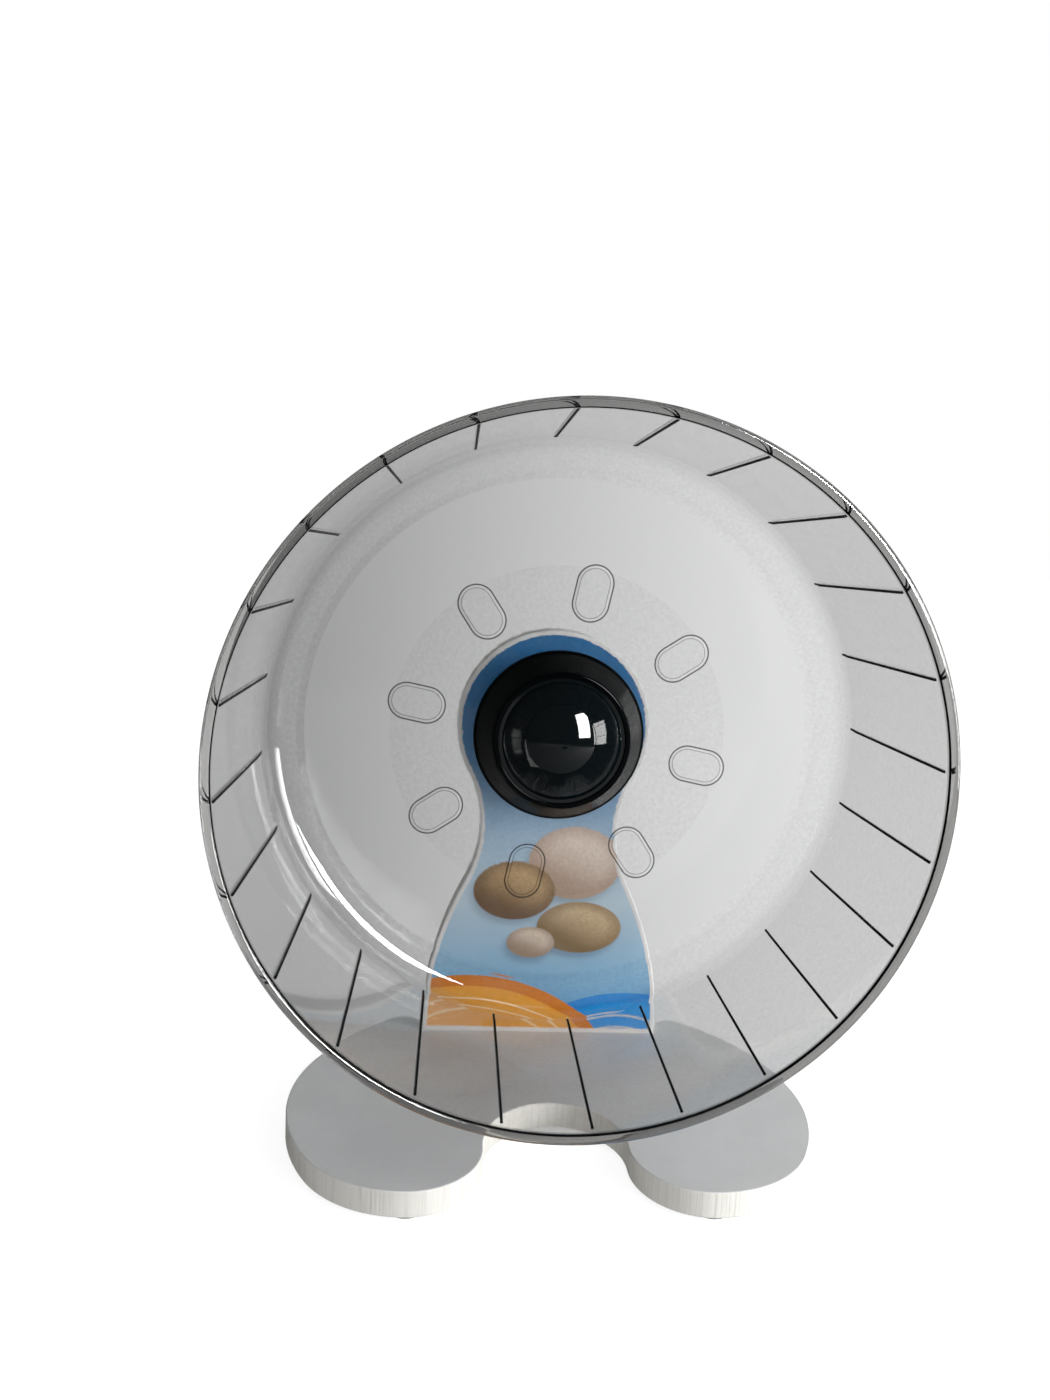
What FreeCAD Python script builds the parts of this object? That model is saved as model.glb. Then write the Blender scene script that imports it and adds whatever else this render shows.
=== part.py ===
import FreeCAD, Part
import math
import os
import re
import Sketcher
from enum import IntEnum
from FreeCAD import Placement, Rotation, Vector

# A running wheel for a small pet: a clear moulded drum on a black hub, which turns on a bolt
# held by a keyhole-shaped upright that stands on a two-lobed base board.
# The frame stands on the floor: +Z is up, -Y is the open front of the drum, X = 0 is the axle.

# Driving sizes, in millimetres and degrees. A depth is counted back from the front of the rim.
SIZES = {
    # Drum
    "rim_radius": 150.0,
    "lip_proud": 0.9,
    "lip_inside": 1.3,
    "lip_round": 2.0,
    "lip_depth": 5.0,
    "drum_wall": 2.2,
    "track_lean": 1.8,
    "drum_depth": 122.0,
    "back_wall": 2.5,
    "corner_radius": 14.0,
    "dish_margin": 4.0,
    "dish_depth": 0.6,
    "bore_play": 0.2,
    "rest_turn": 10.8,
    # Traction ribs along the track
    "rib_count": 24,
    "rib_width": 1.8,
    "rib_height": 1.2,
    "rib_tip": 0.1,
    "rib_root": 1.2,
    "rib_start": 8.0,
    "rib_length": 100.0,
    "rib_fade": 9.0,
    # Obround recesses in the back wall
    "recess_count": 8,
    "recess_circle": 73.0,
    "recess_length": 28.5,
    "recess_width": 18.3,
    "recess_edge": 1.7,
    "recess_depth": 0.7,
    # Hub housing
    "hub_radius": 43.0,
    "hub_edge": 2.8,
    "hub_bevel": 1.5,
    "hub_rise": 18.4,
    "hub_round": 0.5,
    "hub_skin": 3.0,
    "ridge_radius": 33.2,
    "ridge_width": 2.0,
    "ridge_bevel": 0.8,
    "floor_drop": 2.8,
    "floor_thickness": 3.0,
    "boss_wall": 4.0,
    "boss_short": 0.2,
    "shoulder_width": 1.5,
    "bearing_setback": 1.0,
    # Hub cap
    "cap_play": 0.2,
    "cap_wall": 2.0,
    "ledge_drop": 0.6,
    "dome_foot": 29.3,
    "dome_rise": 14.0,
    # Rear hub plate
    "plate_radius": 40.0,
    "plate_thickness": 4.0,
    "plate_bevel": 1.5,
    "rear_shoulder": 4.5,
    "seat_lip": 1.0,
    # Hub screws
    "screw_count": 4,
    "screw_circle": 25.0,
    "screw_radius": 2.0,
    "screw_play": 0.2,
    "screw_head_radius": 4.0,
    "screw_head_height": 2.6,
    "screw_length": 14.0,
    "screw_relief": 1.0,
    "post_radius": 4.2,
    # Ball bearings
    "axle_radius": 4.0,
    "bearing_radius": 11.0,
    "race_width": 7.0,
    "race_wall": 2.0,
    "ball_count": 7,
    "ball_radius": 1.984,
    "ball_play": 0.2,
    "cage_wall": 1.7,
    "cage_width": 5.2,
    "pocket_play": 0.05,
    "shield_thickness": 0.3,
    "shield_inset": 0.3,
    "shield_play": 0.35,
    # Axle hardware
    "nut_flats": 13.0,
    "nut_height": 6.5,
    "lock_nut_height": 6.0,
    "lock_collar": 2.0,
    "lock_collar_radius": 5.6,
    "head_height": 5.3,
    "washer_radius": 12.0,
    "washer_thickness": 1.5,
    "collar_length": 2.5,
    "collar_inset": 0.2,
    "bolt_end": 1.0,
    "axle_play": 0.2,
    # Stand boards
    "board": 12.0,
    "edge_round": 0.6,
    "ground_gap": 24.0,
    "head_radius": 51.0,
    "neck_half": 36.6,
    "neck_radius": 64.0,
    "foot_half": 65.4,
    "seat_play": 0.3,
    "base_front": 6.0,
    "base_tail": 3.3,
    "lobe_inner": 33.0,
    "lobe_outer": 54.0,
    "notch_half": 33.0,
    "notch_straight": 2.0,
    "rear_corner": 11.0,
    "side_swell": 15.5,
    # Printed label
    "label_margin": 1.0,
    "label_thickness": 0.2,
    "label_play": 1.0,
    # Stand screws and foot pads
    "stand_screw_radius": 2.2,
    "stand_screw_head": 4.4,
    "stand_screw_length": 42.0,
    "stand_screw_spacing": 40.0,
    "pad_radius": 8.0,
    "pad_thickness": 1.5,
    "pad_inset": 1.7,
}

# Sizes and places that follow from the driving ones.
DERIVED = {
    "track_radius": "rim_radius - lip_proud - drum_wall",
    "track_end": "track_radius - track_lean",
    "lean": "track_lean / (drum_depth - lip_depth)",
    "lip_radius": "track_radius - lip_inside",
    "dish_radius": "track_end - corner_radius - dish_margin",
    "wall_front": "drum_depth + dish_depth",
    "wall_rear": "drum_depth + back_wall",
    "boss_radius": "bearing_radius + boss_wall",
    "shoulder_radius": "bearing_radius - shoulder_width",
    "crest": "wall_front - hub_rise",
    "cap_floor": "crest + floor_drop",
    "cap_ledge": "crest + ledge_drop",
    "cap_radius": "ridge_radius - ridge_width - cap_play",
    "dome_radius": "(dome_foot ^ 2 + dome_rise ^ 2) / (2 * dome_rise)",
    "dome_centre": "cap_ledge - dome_rise + dome_radius",
    "front_bearing": "cap_floor + bearing_setback",
    "rear_bearing": "wall_rear + rear_shoulder",
    "ball_pitch": "(axle_radius + bearing_radius) / 2",
    "inner_land": "axle_radius + race_wall",
    "outer_land": "bearing_radius - race_wall",
    "groove": "ball_radius + ball_play",
    "collar_radius": "inner_land - collar_inset",
    "nut_corner": "nut_flats / sqrt(3)",
    "clamp_depth": "rear_bearing + race_width + collar_length",
    "upright_face": "clamp_depth + nut_height + washer_thickness",
    "upright_rear": "upright_face + board",
    "lock_depth": "front_bearing - washer_thickness - lock_nut_height",
    "bolt_front": "lock_depth - lock_collar - bolt_end",
    "bolt_rear": "upright_rear + washer_thickness + head_height",
    "front_y": "-bolt_rear / 2",
    "base_top": "pad_thickness + board",
    "axle_drop": "rim_radius + ground_gap",
    "axle_height": "base_top + axle_drop",
    "lobe_x": "notch_half + lobe_inner",
    "lobe_depth": "base_front + lobe_outer",
    "notch_centre": "base_front + lobe_inner + notch_straight",
    "seat_half": "foot_half + seat_play",
    "rear_x": "seat_half + rear_corner",
    "rear_depth": "upright_rear + base_tail - rear_corner",
    "side_across": "rear_x - lobe_x",
    "side_behind": "rear_depth - lobe_depth",
    "side_span": "sqrt(side_across ^ 2 + side_behind ^ 2)",
    "side_radius": "(side_span + lobe_outer + rear_corner) / 2 + side_swell",
    "side_to_lobe": "side_radius - lobe_outer",
    "side_to_rear": "side_radius - rear_corner",
    "side_along": "(side_to_lobe ^ 2 - side_to_rear ^ 2 + side_span ^ 2) / (2 * side_span)",
    "side_aside": "sqrt(side_to_lobe ^ 2 - side_along ^ 2)",
    "side_x": "lobe_x + (side_across * side_along - side_behind * side_aside) / side_span",
    "side_depth": "lobe_depth + (side_behind * side_along + side_across * side_aside) / side_span",
    "neck_x": "neck_half + neck_radius",
    "neck_drop": "sqrt((head_radius + neck_radius) ^ 2 - neck_x ^ 2)",
    "flare_x": "neck_x - foot_half",
    "flare_z": "axle_drop - neck_drop",
    "flare_radius": "(flare_x ^ 2 + flare_z ^ 2 - neck_radius ^ 2) / (2 * (neck_radius - flare_x))",
}

# Lengths closer than this count as equal.
NEAR = 0.01

# Places of the stand screws, in spacings from the middle.
STAND_SCREW_STEPS = (-1, 0, 1)

# The geometry and the point by which a sketch knows its own origin.
SKETCH_ORIGIN = (-1, 1)


class Vertex(IntEnum):
    """The points of a side, as a sketch numbers them."""
    START = 1
    END = 2
    CENTRE = 3


class Bend(IntEnum):
    """The side on which an arc has its centre, seen along the line."""
    LEFT = 1
    RIGHT = -1


doc = FreeCAD.newDocument("running_wheel")
sheet = doc.addObject("Spreadsheet::Sheet", "Sizes")
sub_parts = []


def fill_sheet():
    """Write every driving size as a number and every derived one as a formula."""
    cells = [(name, str(size)) for name, size in SIZES.items()]
    cells += [(name, "=" + formula) for name, formula in DERIVED.items()]
    for row, (name, content) in enumerate(cells, start=1):
        sheet.set(f"A{row}", name)
        sheet.set(f"B{row}", content)
        sheet.setAlias(f"B{row}", name)
    doc.recompute()


def bound(text):
    """The expression with each size read from the sheet."""
    def from_sheet(word):
        name = word.group()
        return f"Sizes.{name}" if name in SIZES or name in DERIVED else name
    return re.sub(r"[a-z_]+", from_sheet, text)


def value(text):
    """The present value of an expression of sizes."""
    return float(sheet.evalExpression(bound(text)))


def bind(item, **expressions):
    """Bind properties to expressions; a double underscore stands for a dot."""
    for name, text in expressions.items():
        item.setExpression(name.replace("__", "."), bound(text))
    return item


def sub_part(item, label):
    """Register a finished piece under the name of its node."""
    item.Label = label
    sub_parts.append(item)
    return item


def on_axle(item, depth="0", turn="0"):
    """Set a piece drawn about its own Z on the axle, with Z running back from that depth."""
    about_z = value(turn)
    lie_down = Rotation(Vector(1, 0, 0), -90) * Rotation(Vector(0, 0, 1), about_z)
    item.Placement = Placement(Vector(0, 0, 0), lie_down)
    return bind(item, Placement__Base__y=f"front_y + {depth}", Placement__Base__z="axle_height")


def origin_feature(body, role):
    return next(item for item in body.Origin.OriginFeatures if item.Role == role)


def new_sketch(body, name, plane, offset="0"):
    sketch = body.newObject("Sketcher::SketchObject", name)
    sketch.AttachmentSupport = (origin_feature(body, plane), [""])
    sketch.MapMode = "FlatFace"
    return bind(sketch, AttachmentOffset__Base__z=offset)


def locate(sketch, geometry, vertex, x, y):
    """Hold a point of the sketch at x and y from the sketch's origin."""
    for kind, text in (("DistanceX", x), ("DistanceY", y)):
        rule = Sketcher.Constraint(kind, *SKETCH_ORIGIN, geometry, vertex, value(text))
        index = sketch.addConstraint(rule)
        sketch.setExpression(f"Constraints[{index}]", bound(text))


def arc_between(start, end, radius, bend):
    """The shorter arc from start to end, which bends to the left or to the right."""
    chord = end - start
    half = chord.Length / 2
    to_left = Vector(-chord.y, chord.x, 0).normalize()
    centre = (start + end) / 2 + to_left * (bend * math.sqrt(radius ** 2 - half ** 2))
    first, last = (start, end) if bend == Bend.LEFT else (end, start)
    begin = math.atan2(first.y - centre.y, first.x - centre.x)
    finish = math.atan2(last.y - centre.y, last.x - centre.x)
    return Part.ArcOfCircle(Part.Circle(centre, Vector(0, 0, 1), radius), begin, finish)


def outline(sketch, points):
    """Close a line through points. Each point is its x and y, and starts a straight side,
    or an arc when it also gives a radius and a bend."""
    spots = [Vector(value(point[0]), value(point[1]), 0) for point in points]
    ends = []
    for index, point in enumerate(points):
        start = spots[index]
        end = spots[(index + 1) % len(spots)]
        if len(point) == 2:
            side = sketch.addGeometry(Part.LineSegment(start, end), False)
            ends.append((side, Vertex.START, Vertex.END))
            continue
        radius, bend = point[2:]
        side = sketch.addGeometry(arc_between(start, end, value(radius), bend), False)
        rule = sketch.addConstraint(Sketcher.Constraint("Radius", side, value(radius)))
        sketch.setExpression(f"Constraints[{rule}]", bound(radius))
        way = (Vertex.START, Vertex.END) if bend == Bend.LEFT else (Vertex.END, Vertex.START)
        ends.append((side, *way))
    for index, (side, first, last) in enumerate(ends):
        after, after_first, _ = ends[(index + 1) % len(ends)]
        sketch.addConstraint(Sketcher.Constraint("Coincident", side, last, after, after_first))
        locate(sketch, side, first, *points[index][:2])
    return sketch


def round_hole(sketch, x, y, radius):
    """A circle in a sketch, for a pocket."""
    circle = Part.Circle(Vector(value(x), value(y), 0), Vector(0, 0, 1), value(radius))
    index = sketch.addGeometry(circle, False)
    rule = sketch.addConstraint(Sketcher.Constraint("Radius", index, value(radius)))
    sketch.setExpression(f"Constraints[{rule}]", bound(radius))
    locate(sketch, index, Vertex.CENTRE, x, y)
    return sketch


def new_body(name):
    return doc.addObject("PartDesign::Body", name)


def turned(name, points):
    """A body turned about its Z from a profile of radius and depth."""
    body = new_body(name)
    profile = outline(new_sketch(body, name + "_profile", "XZ_Plane"), points)
    turning = body.newObject("PartDesign::Revolution", name + "_turning")
    turning.Profile = profile
    turning.ReferenceAxis = (profile, ["V_Axis"])
    turning.Angle = 360
    doc.recompute()
    return body


def extruded(body, sketch, name, length, kind="Pad", backwards=False):
    feature = body.newObject("PartDesign::" + kind, name)
    feature.Profile = sketch
    feature.Reversed = backwards
    bind(feature, Length=length)
    doc.recompute()
    return feature


def lofted(body, sections, name, kind):
    feature = body.newObject("PartDesign::" + kind, name)
    feature.Profile = sections[0]
    feature.Sections = sections[1:]
    feature.Ruled = True
    doc.recompute()
    return feature


def around_axle(body, feature, name, count):
    """Repeat a feature evenly about the body's Z."""
    pattern = body.newObject("PartDesign::PolarPattern", name)
    pattern.Originals = [feature]
    pattern.Axis = (origin_feature(body, "Z_Axis"), [""])
    pattern.Angle = 360
    bind(pattern, Occurrences=count)
    body.Tip = pattern
    doc.recompute()
    return pattern


def rounded(body, edges, name, radius):
    """Fillet the named edges of the body's last feature."""
    base = body.Tip
    fillet = body.newObject("PartDesign::Fillet", name)
    fillet.Base = (base, edges)
    bind(fillet, Radius=radius)
    doc.recompute()
    return fillet


def ring_edge(body, radius, depth):
    """The circular edge of that radius and depth on a turned body."""
    for index, edge in enumerate(body.Tip.Shape.Edges, start=1):
        curve = edge.Curve
        if not isinstance(curve, Part.Circle):
            continue
        if abs(curve.Radius - value(radius)) < NEAR and abs(curve.Center.z - value(depth)) < NEAR:
            return f"Edge{index}"
    raise ValueError(f"no edge of radius {radius} at depth {depth}")


def cylinder(name, radius, length, x="0", y="0", z="0"):
    rod = doc.addObject("Part::Cylinder", name)
    bind(rod, Radius=radius, Height=length)
    return bind(rod, Placement__Base__x=x, Placement__Base__y=y, Placement__Base__z=z)


def hexagon(name, flats_corner, length):
    prism = doc.addObject("Part::Prism", name)
    prism.Polygon = 6
    return bind(prism, Circumradius=flats_corner, Height=length)


def cut(name, base, tool):
    piece = doc.addObject("Part::Cut", name)
    piece.Base = base
    piece.Tool = tool
    return piece


def fused(name, pieces):
    piece = doc.addObject("Part::MultiFuse", name)
    piece.Shapes = pieces
    return piece


def grouped(name, pieces):
    group = doc.addObject("Part::Compound", name)
    group.Links = pieces
    return group


def tube(name, outer, inner, length, z="0"):
    blank = cylinder(name + "_blank", outer, length, z=z)
    bore = cylinder(name + "_bore", inner, length, z=z)
    return cut(name, blank, bore)


def track_at(depth):
    """Inner radius of the leaning track at a depth."""
    return f"(track_radius - lean * ({depth} - lip_depth))"


def obround(centre, length, width):
    """An outline with round ends that lies along x."""
    near_end = f"{centre} - ({length} - {width}) / 2"
    far_end = f"{centre} + ({length} - {width}) / 2"
    half = f"{width} / 2"
    return [
        (near_end, f"-({half})"),
        (far_end, f"-({half})", half, Bend.LEFT),
        (f"{far_end} + {half}", "0", half, Bend.LEFT),
        (far_end, half),
        (near_end, half, half, Bend.LEFT),
        (f"{near_end} - {half}", "0", half, Bend.LEFT),
    ]


def make_drum():
    """One clear moulding: rolled lip, leaning track with ribs, round corner and back wall."""
    bore = "boss_radius + bore_play"
    drum = turned("drum", [
        ("rim_radius", "lip_depth"),
        ("track_radius + drum_wall", "lip_depth"),
        ("track_end + drum_wall", "wall_rear"),
        (bore, "wall_rear"),
        (bore, "wall_front"),
        ("dish_radius", "wall_front"),
        ("dish_radius", "drum_depth"),
        ("track_end", "drum_depth"),
        ("track_radius", "lip_depth"),
        ("lip_radius", "lip_depth - lip_inside"),
        ("lip_radius", "lip_round", "lip_round", Bend.LEFT),
        ("lip_radius + lip_round", "0"),
        ("rim_radius - lip_round", "0", "lip_round", Bend.LEFT),
        ("rim_radius", "lip_round"),
    ])
    inner_corner = ring_edge(drum, "track_end", "drum_depth")
    rounded(drum, [inner_corner], "inner_corner", "corner_radius")
    outer_corner = ring_edge(drum, "track_end + drum_wall", "wall_rear")
    rounded(drum, [outer_corner], "outer_corner", "corner_radius + drum_wall")
    add_ribs(drum)
    add_recesses(drum)
    hole = round_hole(new_sketch(drum, "drum_screw_hole", "XY_Plane", "wall_rear"),
                      "screw_circle", "0", "screw_radius + screw_play")
    drilled = extruded(drum, hole, "drum_drilling", "back_wall", kind="Pocket")
    around_axle(drum, drilled, "drum_drillings", "screw_count")
    sub_part(on_axle(drum, turn="rest_turn"), "drum")


def add_ribs(drum):
    """Low round-topped ribs that keep feet from slipping; the rear end of each fades out."""
    rib_end = "rib_start + rib_length"
    stations = [
        ("rib_start", "rib_height"),
        (f"({rib_end} - rib_fade)", "rib_height"),
        (f"({rib_end})", "rib_tip"),
    ]
    half = "rib_width / 2"
    sections = []
    for index, (depth, height) in enumerate(stations):
        surface = track_at(depth)
        shoulder = f"{surface} - {height} + {half}"
        root = f"{surface} + rib_root"
        sketch = new_sketch(drum, f"rib_section_{index}", "XY_Plane", depth)
        sections.append(outline(sketch, [
            (root, f"-({half})"),
            (root, half),
            (shoulder, half, half, Bend.LEFT),
            (f"{surface} - {height}", "0", half, Bend.LEFT),
            (shoulder, f"-({half})"),
        ]))
    rib = lofted(drum, sections, "rib", "AdditiveLoft")
    around_axle(drum, rib, "ribs", "rib_count")


def add_recesses(drum):
    """Shallow obround recesses with sloping edges, in line with every third rib."""
    mouth = new_sketch(drum, "recess_mouth", "XY_Plane", "wall_front")
    outline(mouth, obround("recess_circle", "recess_length", "recess_width"))
    floor = new_sketch(drum, "recess_floor", "XY_Plane", "wall_front + recess_depth")
    outline(floor, obround("recess_circle", "(recess_length - 2 * recess_edge)",
                           "(recess_width - 2 * recess_edge)"))
    recess = lofted(drum, [mouth, floor], "recess", "SubtractiveLoft")
    around_axle(drum, recess, "recesses", "recess_count")


def make_hub_housing():
    """Black moulding against the wall's front: bevelled flange, cone, and front bearing seat."""
    floor_back = "cap_floor + floor_thickness"
    skirt = "hub_radius - hub_bevel - hub_skin"
    housing = turned("hub_housing", [
        ("hub_radius", "wall_front"),
        (skirt, "wall_front"),
        (skirt, "wall_front - hub_edge"),
        ("ridge_radius", floor_back),
        ("boss_radius", floor_back),
        ("boss_radius", "wall_rear - boss_short"),
        ("shoulder_radius", "wall_rear - boss_short"),
        ("shoulder_radius", "front_bearing + race_width"),
        ("bearing_radius", "front_bearing + race_width"),
        ("bearing_radius", "cap_floor"),
        ("ridge_radius - ridge_width", "cap_floor"),
        ("ridge_radius - ridge_width", "crest"),
        ("ridge_radius", "crest"),
        ("ridge_radius + ridge_bevel", "crest + ridge_bevel"),
        ("hub_radius - hub_bevel", "wall_front - hub_edge - hub_bevel"),
        ("hub_radius", "wall_front - hub_edge"),
    ])
    edges = [ring_edge(housing, radius, depth) for radius, depth in (
        ("hub_radius", "wall_front - hub_edge"),
        ("hub_radius - hub_bevel", "wall_front - hub_edge - hub_bevel"),
        ("ridge_radius + ridge_bevel", "crest + ridge_bevel"),
        ("ridge_radius", "crest"),
        ("ridge_radius - ridge_width", "crest"),
    )]
    rounded(housing, edges, "hub_edges", "hub_round")
    spot = ("screw_circle", "0")
    post_sketch = round_hole(new_sketch(housing, "post_sketch", "XY_Plane", "wall_front"),
                             *spot, "post_radius")
    post = extruded(housing, post_sketch, "post", f"wall_front - ({floor_back})", backwards=True)
    around_axle(housing, post, "posts", "screw_count")
    pilot_sketch = round_hole(new_sketch(housing, "pilot_sketch", "XY_Plane", "wall_front"),
                              *spot, "screw_radius")
    reach = "screw_length + screw_relief - plate_thickness - (wall_rear - wall_front)"
    pilot = extruded(housing, pilot_sketch, "pilot", reach, kind="Pocket")
    around_axle(housing, pilot, "pilots", "screw_count")
    sub_part(on_axle(housing, turn="rest_turn"), "hub_housing")


def make_hub_cap():
    """Domed black cap pressed into the ring of the housing, over the lock nut."""
    inner_dome = "(dome_radius - cap_wall)"
    inner_foot = f"sqrt({inner_dome} ^ 2 - (dome_centre - cap_floor) ^ 2)"
    cap = turned("hub_cap", [
        ("cap_radius", "cap_floor"),
        (inner_foot, "cap_floor", inner_dome, Bend.RIGHT),
        ("0", f"dome_centre - {inner_dome}"),
        ("0", "dome_centre - dome_radius", "dome_radius", Bend.LEFT),
        ("dome_foot", "cap_ledge"),
        ("cap_radius", "cap_ledge"),
    ])
    sub_part(on_axle(cap), "hub_cap")


def make_hub_rear_plate():
    """Black plate that clamps the wall from behind and seats the rear bearing in its boss."""
    back = "wall_rear + plate_thickness"
    boss_end = "rear_bearing + race_width + seat_lip"
    plate = turned("hub_rear_plate", [
        ("shoulder_radius", "wall_rear"),
        ("plate_radius", "wall_rear"),
        ("plate_radius", f"{back} - plate_bevel"),
        ("plate_radius - plate_bevel", back),
        ("boss_radius", back),
        ("boss_radius", boss_end),
        ("bearing_radius", boss_end),
        ("bearing_radius", "rear_bearing"),
        ("shoulder_radius", "rear_bearing"),
    ])
    hole = round_hole(new_sketch(plate, "plate_screw_hole", "XY_Plane", back),
                      "screw_circle", "0", "screw_radius + screw_play")
    drilled = extruded(plate, hole, "plate_drilling", "plate_thickness", kind="Pocket")
    around_axle(plate, drilled, "plate_drillings", "screw_count")
    sub_part(on_axle(plate, turn="rest_turn"), "hub_rear_plate")


def make_hub_screws():
    """Pan-head screws from behind, through the plate and the wall into the housing's posts."""
    pieces = []
    for index in range(int(value("screw_count"))):
        angle = f"({index} * 360 / screw_count)"
        spot = {"x": f"screw_circle * cos({angle})", "y": f"screw_circle * sin({angle})"}
        pieces.append(cylinder(f"hub_screw_shank_{index}", "screw_radius", "screw_length",
                               z="-screw_length", **spot))
        pieces.append(cylinder(f"hub_screw_head_{index}", "screw_head_radius",
                               "screw_head_height", **spot))
    screws = fused("hub_screws", pieces)
    on_axle(screws, "wall_rear + plate_thickness", "rest_turn")
    sub_part(screws, "hub_screws")


def make_bearing(side, depth):
    """A shielded ball bearing: two grooved races, a caged ring of balls and two shields."""
    middle = f"({depth} + race_width / 2)"
    back = f"{depth} + race_width"
    inner_reach = "sqrt(groove ^ 2 - (ball_pitch - inner_land) ^ 2)"
    inner = turned(f"{side}_inner_race", [
        ("axle_radius", depth),
        ("inner_land", depth),
        ("inner_land", f"{middle} - {inner_reach}", "groove", Bend.RIGHT),
        ("inner_land", f"{middle} + {inner_reach}"),
        ("inner_land", back),
        ("axle_radius", back),
    ])
    sub_part(on_axle(inner), f"{side}_inner_race")
    outer_reach = "sqrt(groove ^ 2 - (outer_land - ball_pitch) ^ 2)"
    outer = turned(f"{side}_outer_race", [
        ("outer_land", depth),
        ("bearing_radius", depth),
        ("bearing_radius", back),
        ("outer_land", back),
        ("outer_land", f"{middle} + {outer_reach}", "groove", Bend.RIGHT),
        ("outer_land", f"{middle} - {outer_reach}"),
    ])
    sub_part(on_axle(outer), f"{side}_outer_race")
    balls = ball_ring(f"{side}_ball", "ball_radius")
    sub_part(on_axle(balls, middle), f"{side}_balls")
    ring = tube(f"{side}_cage_ring", "ball_pitch + cage_wall / 2", "ball_pitch - cage_wall / 2",
                "cage_width", z="-cage_width / 2")
    pockets = ball_ring(f"{side}_pocket", "ball_radius + pocket_play")
    sub_part(on_axle(cut(f"{side}_cage", ring, pockets), middle), f"{side}_cage")
    near_z = "shield_inset"
    far_z = "race_width - shield_inset - shield_thickness"
    shields = [tube(f"{side}_shield_{index}", "outer_land", "inner_land + shield_play",
                    "shield_thickness", z)
               for index, z in enumerate((near_z, far_z))]
    sub_part(on_axle(grouped(f"{side}_shields", shields), depth), f"{side}_shields")


def ball_ring(name, radius):
    """A ring of spheres on the pitch circle of a bearing, their poles on the spokes."""
    count = int(value("ball_count"))
    spheres = []
    for index in range(count):
        angle = f"({index} * 360 / ball_count)"
        ball = doc.addObject("Part::Sphere", f"{name}_{index}")
        about_z = Rotation(Vector(0, 0, 1), index * 360 / count)
        ball.Placement = Placement(Vector(0, 0, 0), about_z * Rotation(Vector(0, 1, 0), 90))
        bind(ball, Radius=radius, Placement__Base__x=f"ball_pitch * cos({angle})",
             Placement__Base__y=f"ball_pitch * sin({angle})")
        spheres.append(ball)
    return grouped(name + "s", spheres)


def make_axle():
    """A hex bolt through the upright, with the washers, nuts and spacers that sit on it."""
    head_depth = "upright_rear + washer_thickness"
    head = bind(hexagon("bolt_head", "nut_corner", "head_height"),
                Placement__Base__z=f"{head_depth} - bolt_front")
    shank = cylinder("bolt_shank", "axle_radius", f"{head_depth} - bolt_front")
    sub_part(on_axle(fused("axle_bolt", [shank, head]), "bolt_front"), "axle_bolt")
    for label, radius, length, depth in (
        ("back_washer", "washer_radius", "washer_thickness", "upright_rear"),
        ("front_washer", "washer_radius", "washer_thickness", "upright_face - washer_thickness"),
        ("axle_collar", "collar_radius", "collar_length", "rear_bearing + race_width"),
        ("race_spacer", "collar_radius", "rear_bearing - front_bearing - race_width",
         "front_bearing + race_width"),
        ("lock_washer", "collar_radius", "washer_thickness", "front_bearing - washer_thickness"),
    ):
        sub_part(on_axle(tube(label, radius, "axle_radius", length), depth), label)
    clamp = cut("clamp_nut", hexagon("clamp_blank", "nut_corner", "nut_height"),
                cylinder("clamp_thread", "axle_radius", "nut_height"))
    sub_part(on_axle(clamp, "clamp_depth"), "clamp_nut")
    lock_hex = bind(hexagon("lock_hex", "nut_corner", "lock_nut_height"),
                    Placement__Base__z="lock_collar")
    lock_ring = cylinder("lock_ring", "lock_collar_radius", "lock_collar")
    lock_thread = cylinder("lock_thread", "axle_radius", "lock_collar + lock_nut_height")
    lock = cut("lock_nut", fused("lock_blank", [lock_hex, lock_ring]), lock_thread)
    sub_part(on_axle(lock, "lock_depth - lock_collar"), "lock_nut")


def keyhole(inset):
    """Outline of the upright about the axle: round head, waisted neck and flared foot."""
    head = f"(head_radius - {inset})"
    neck = f"(neck_radius + {inset})"
    flare = f"(flare_radius - {inset})"
    to_head = f"{head} / (head_radius + neck_radius)"
    to_flare = f"{neck} / (neck_radius + flare_radius)"
    head_x = f"neck_x * {to_head}"
    head_z = f"-neck_drop * {to_head}"
    waist_x = f"neck_x - (flare_x + flare_radius) * {to_flare}"
    waist_z = f"-neck_drop - flare_z * {to_flare}"
    foot_x = f"(foot_half - {inset})"
    return [
        (f"-{foot_x}", "-axle_drop"),
        (foot_x, "-axle_drop", flare, Bend.LEFT),
        (waist_x, waist_z, neck, Bend.RIGHT),
        (head_x, head_z, head, Bend.LEFT),
        ("0", head, head, Bend.LEFT),
        (f"-({head_x})", head_z, neck, Bend.RIGHT),
        (f"-({waist_x})", waist_z, flare, Bend.LEFT),
    ]


def edges_at(body, y):
    """Names and shapes of the edges of the body that lie in the plane at that y."""
    for index, edge in enumerate(body.Tip.Shape.Edges, start=1):
        box = edge.BoundBox
        if abs(box.YMin - y) < NEAR and abs(box.YMax - y) < NEAR:
            yield f"Edge{index}", edge


def is_circle(edge, radius):
    """Whether the edge is the whole rim of a hole of that radius."""
    is_ring = isinstance(edge.Curve, Part.Circle) and edge.isClosed()
    return is_ring and abs(edge.Curve.Radius - value(radius)) < NEAR


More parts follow.
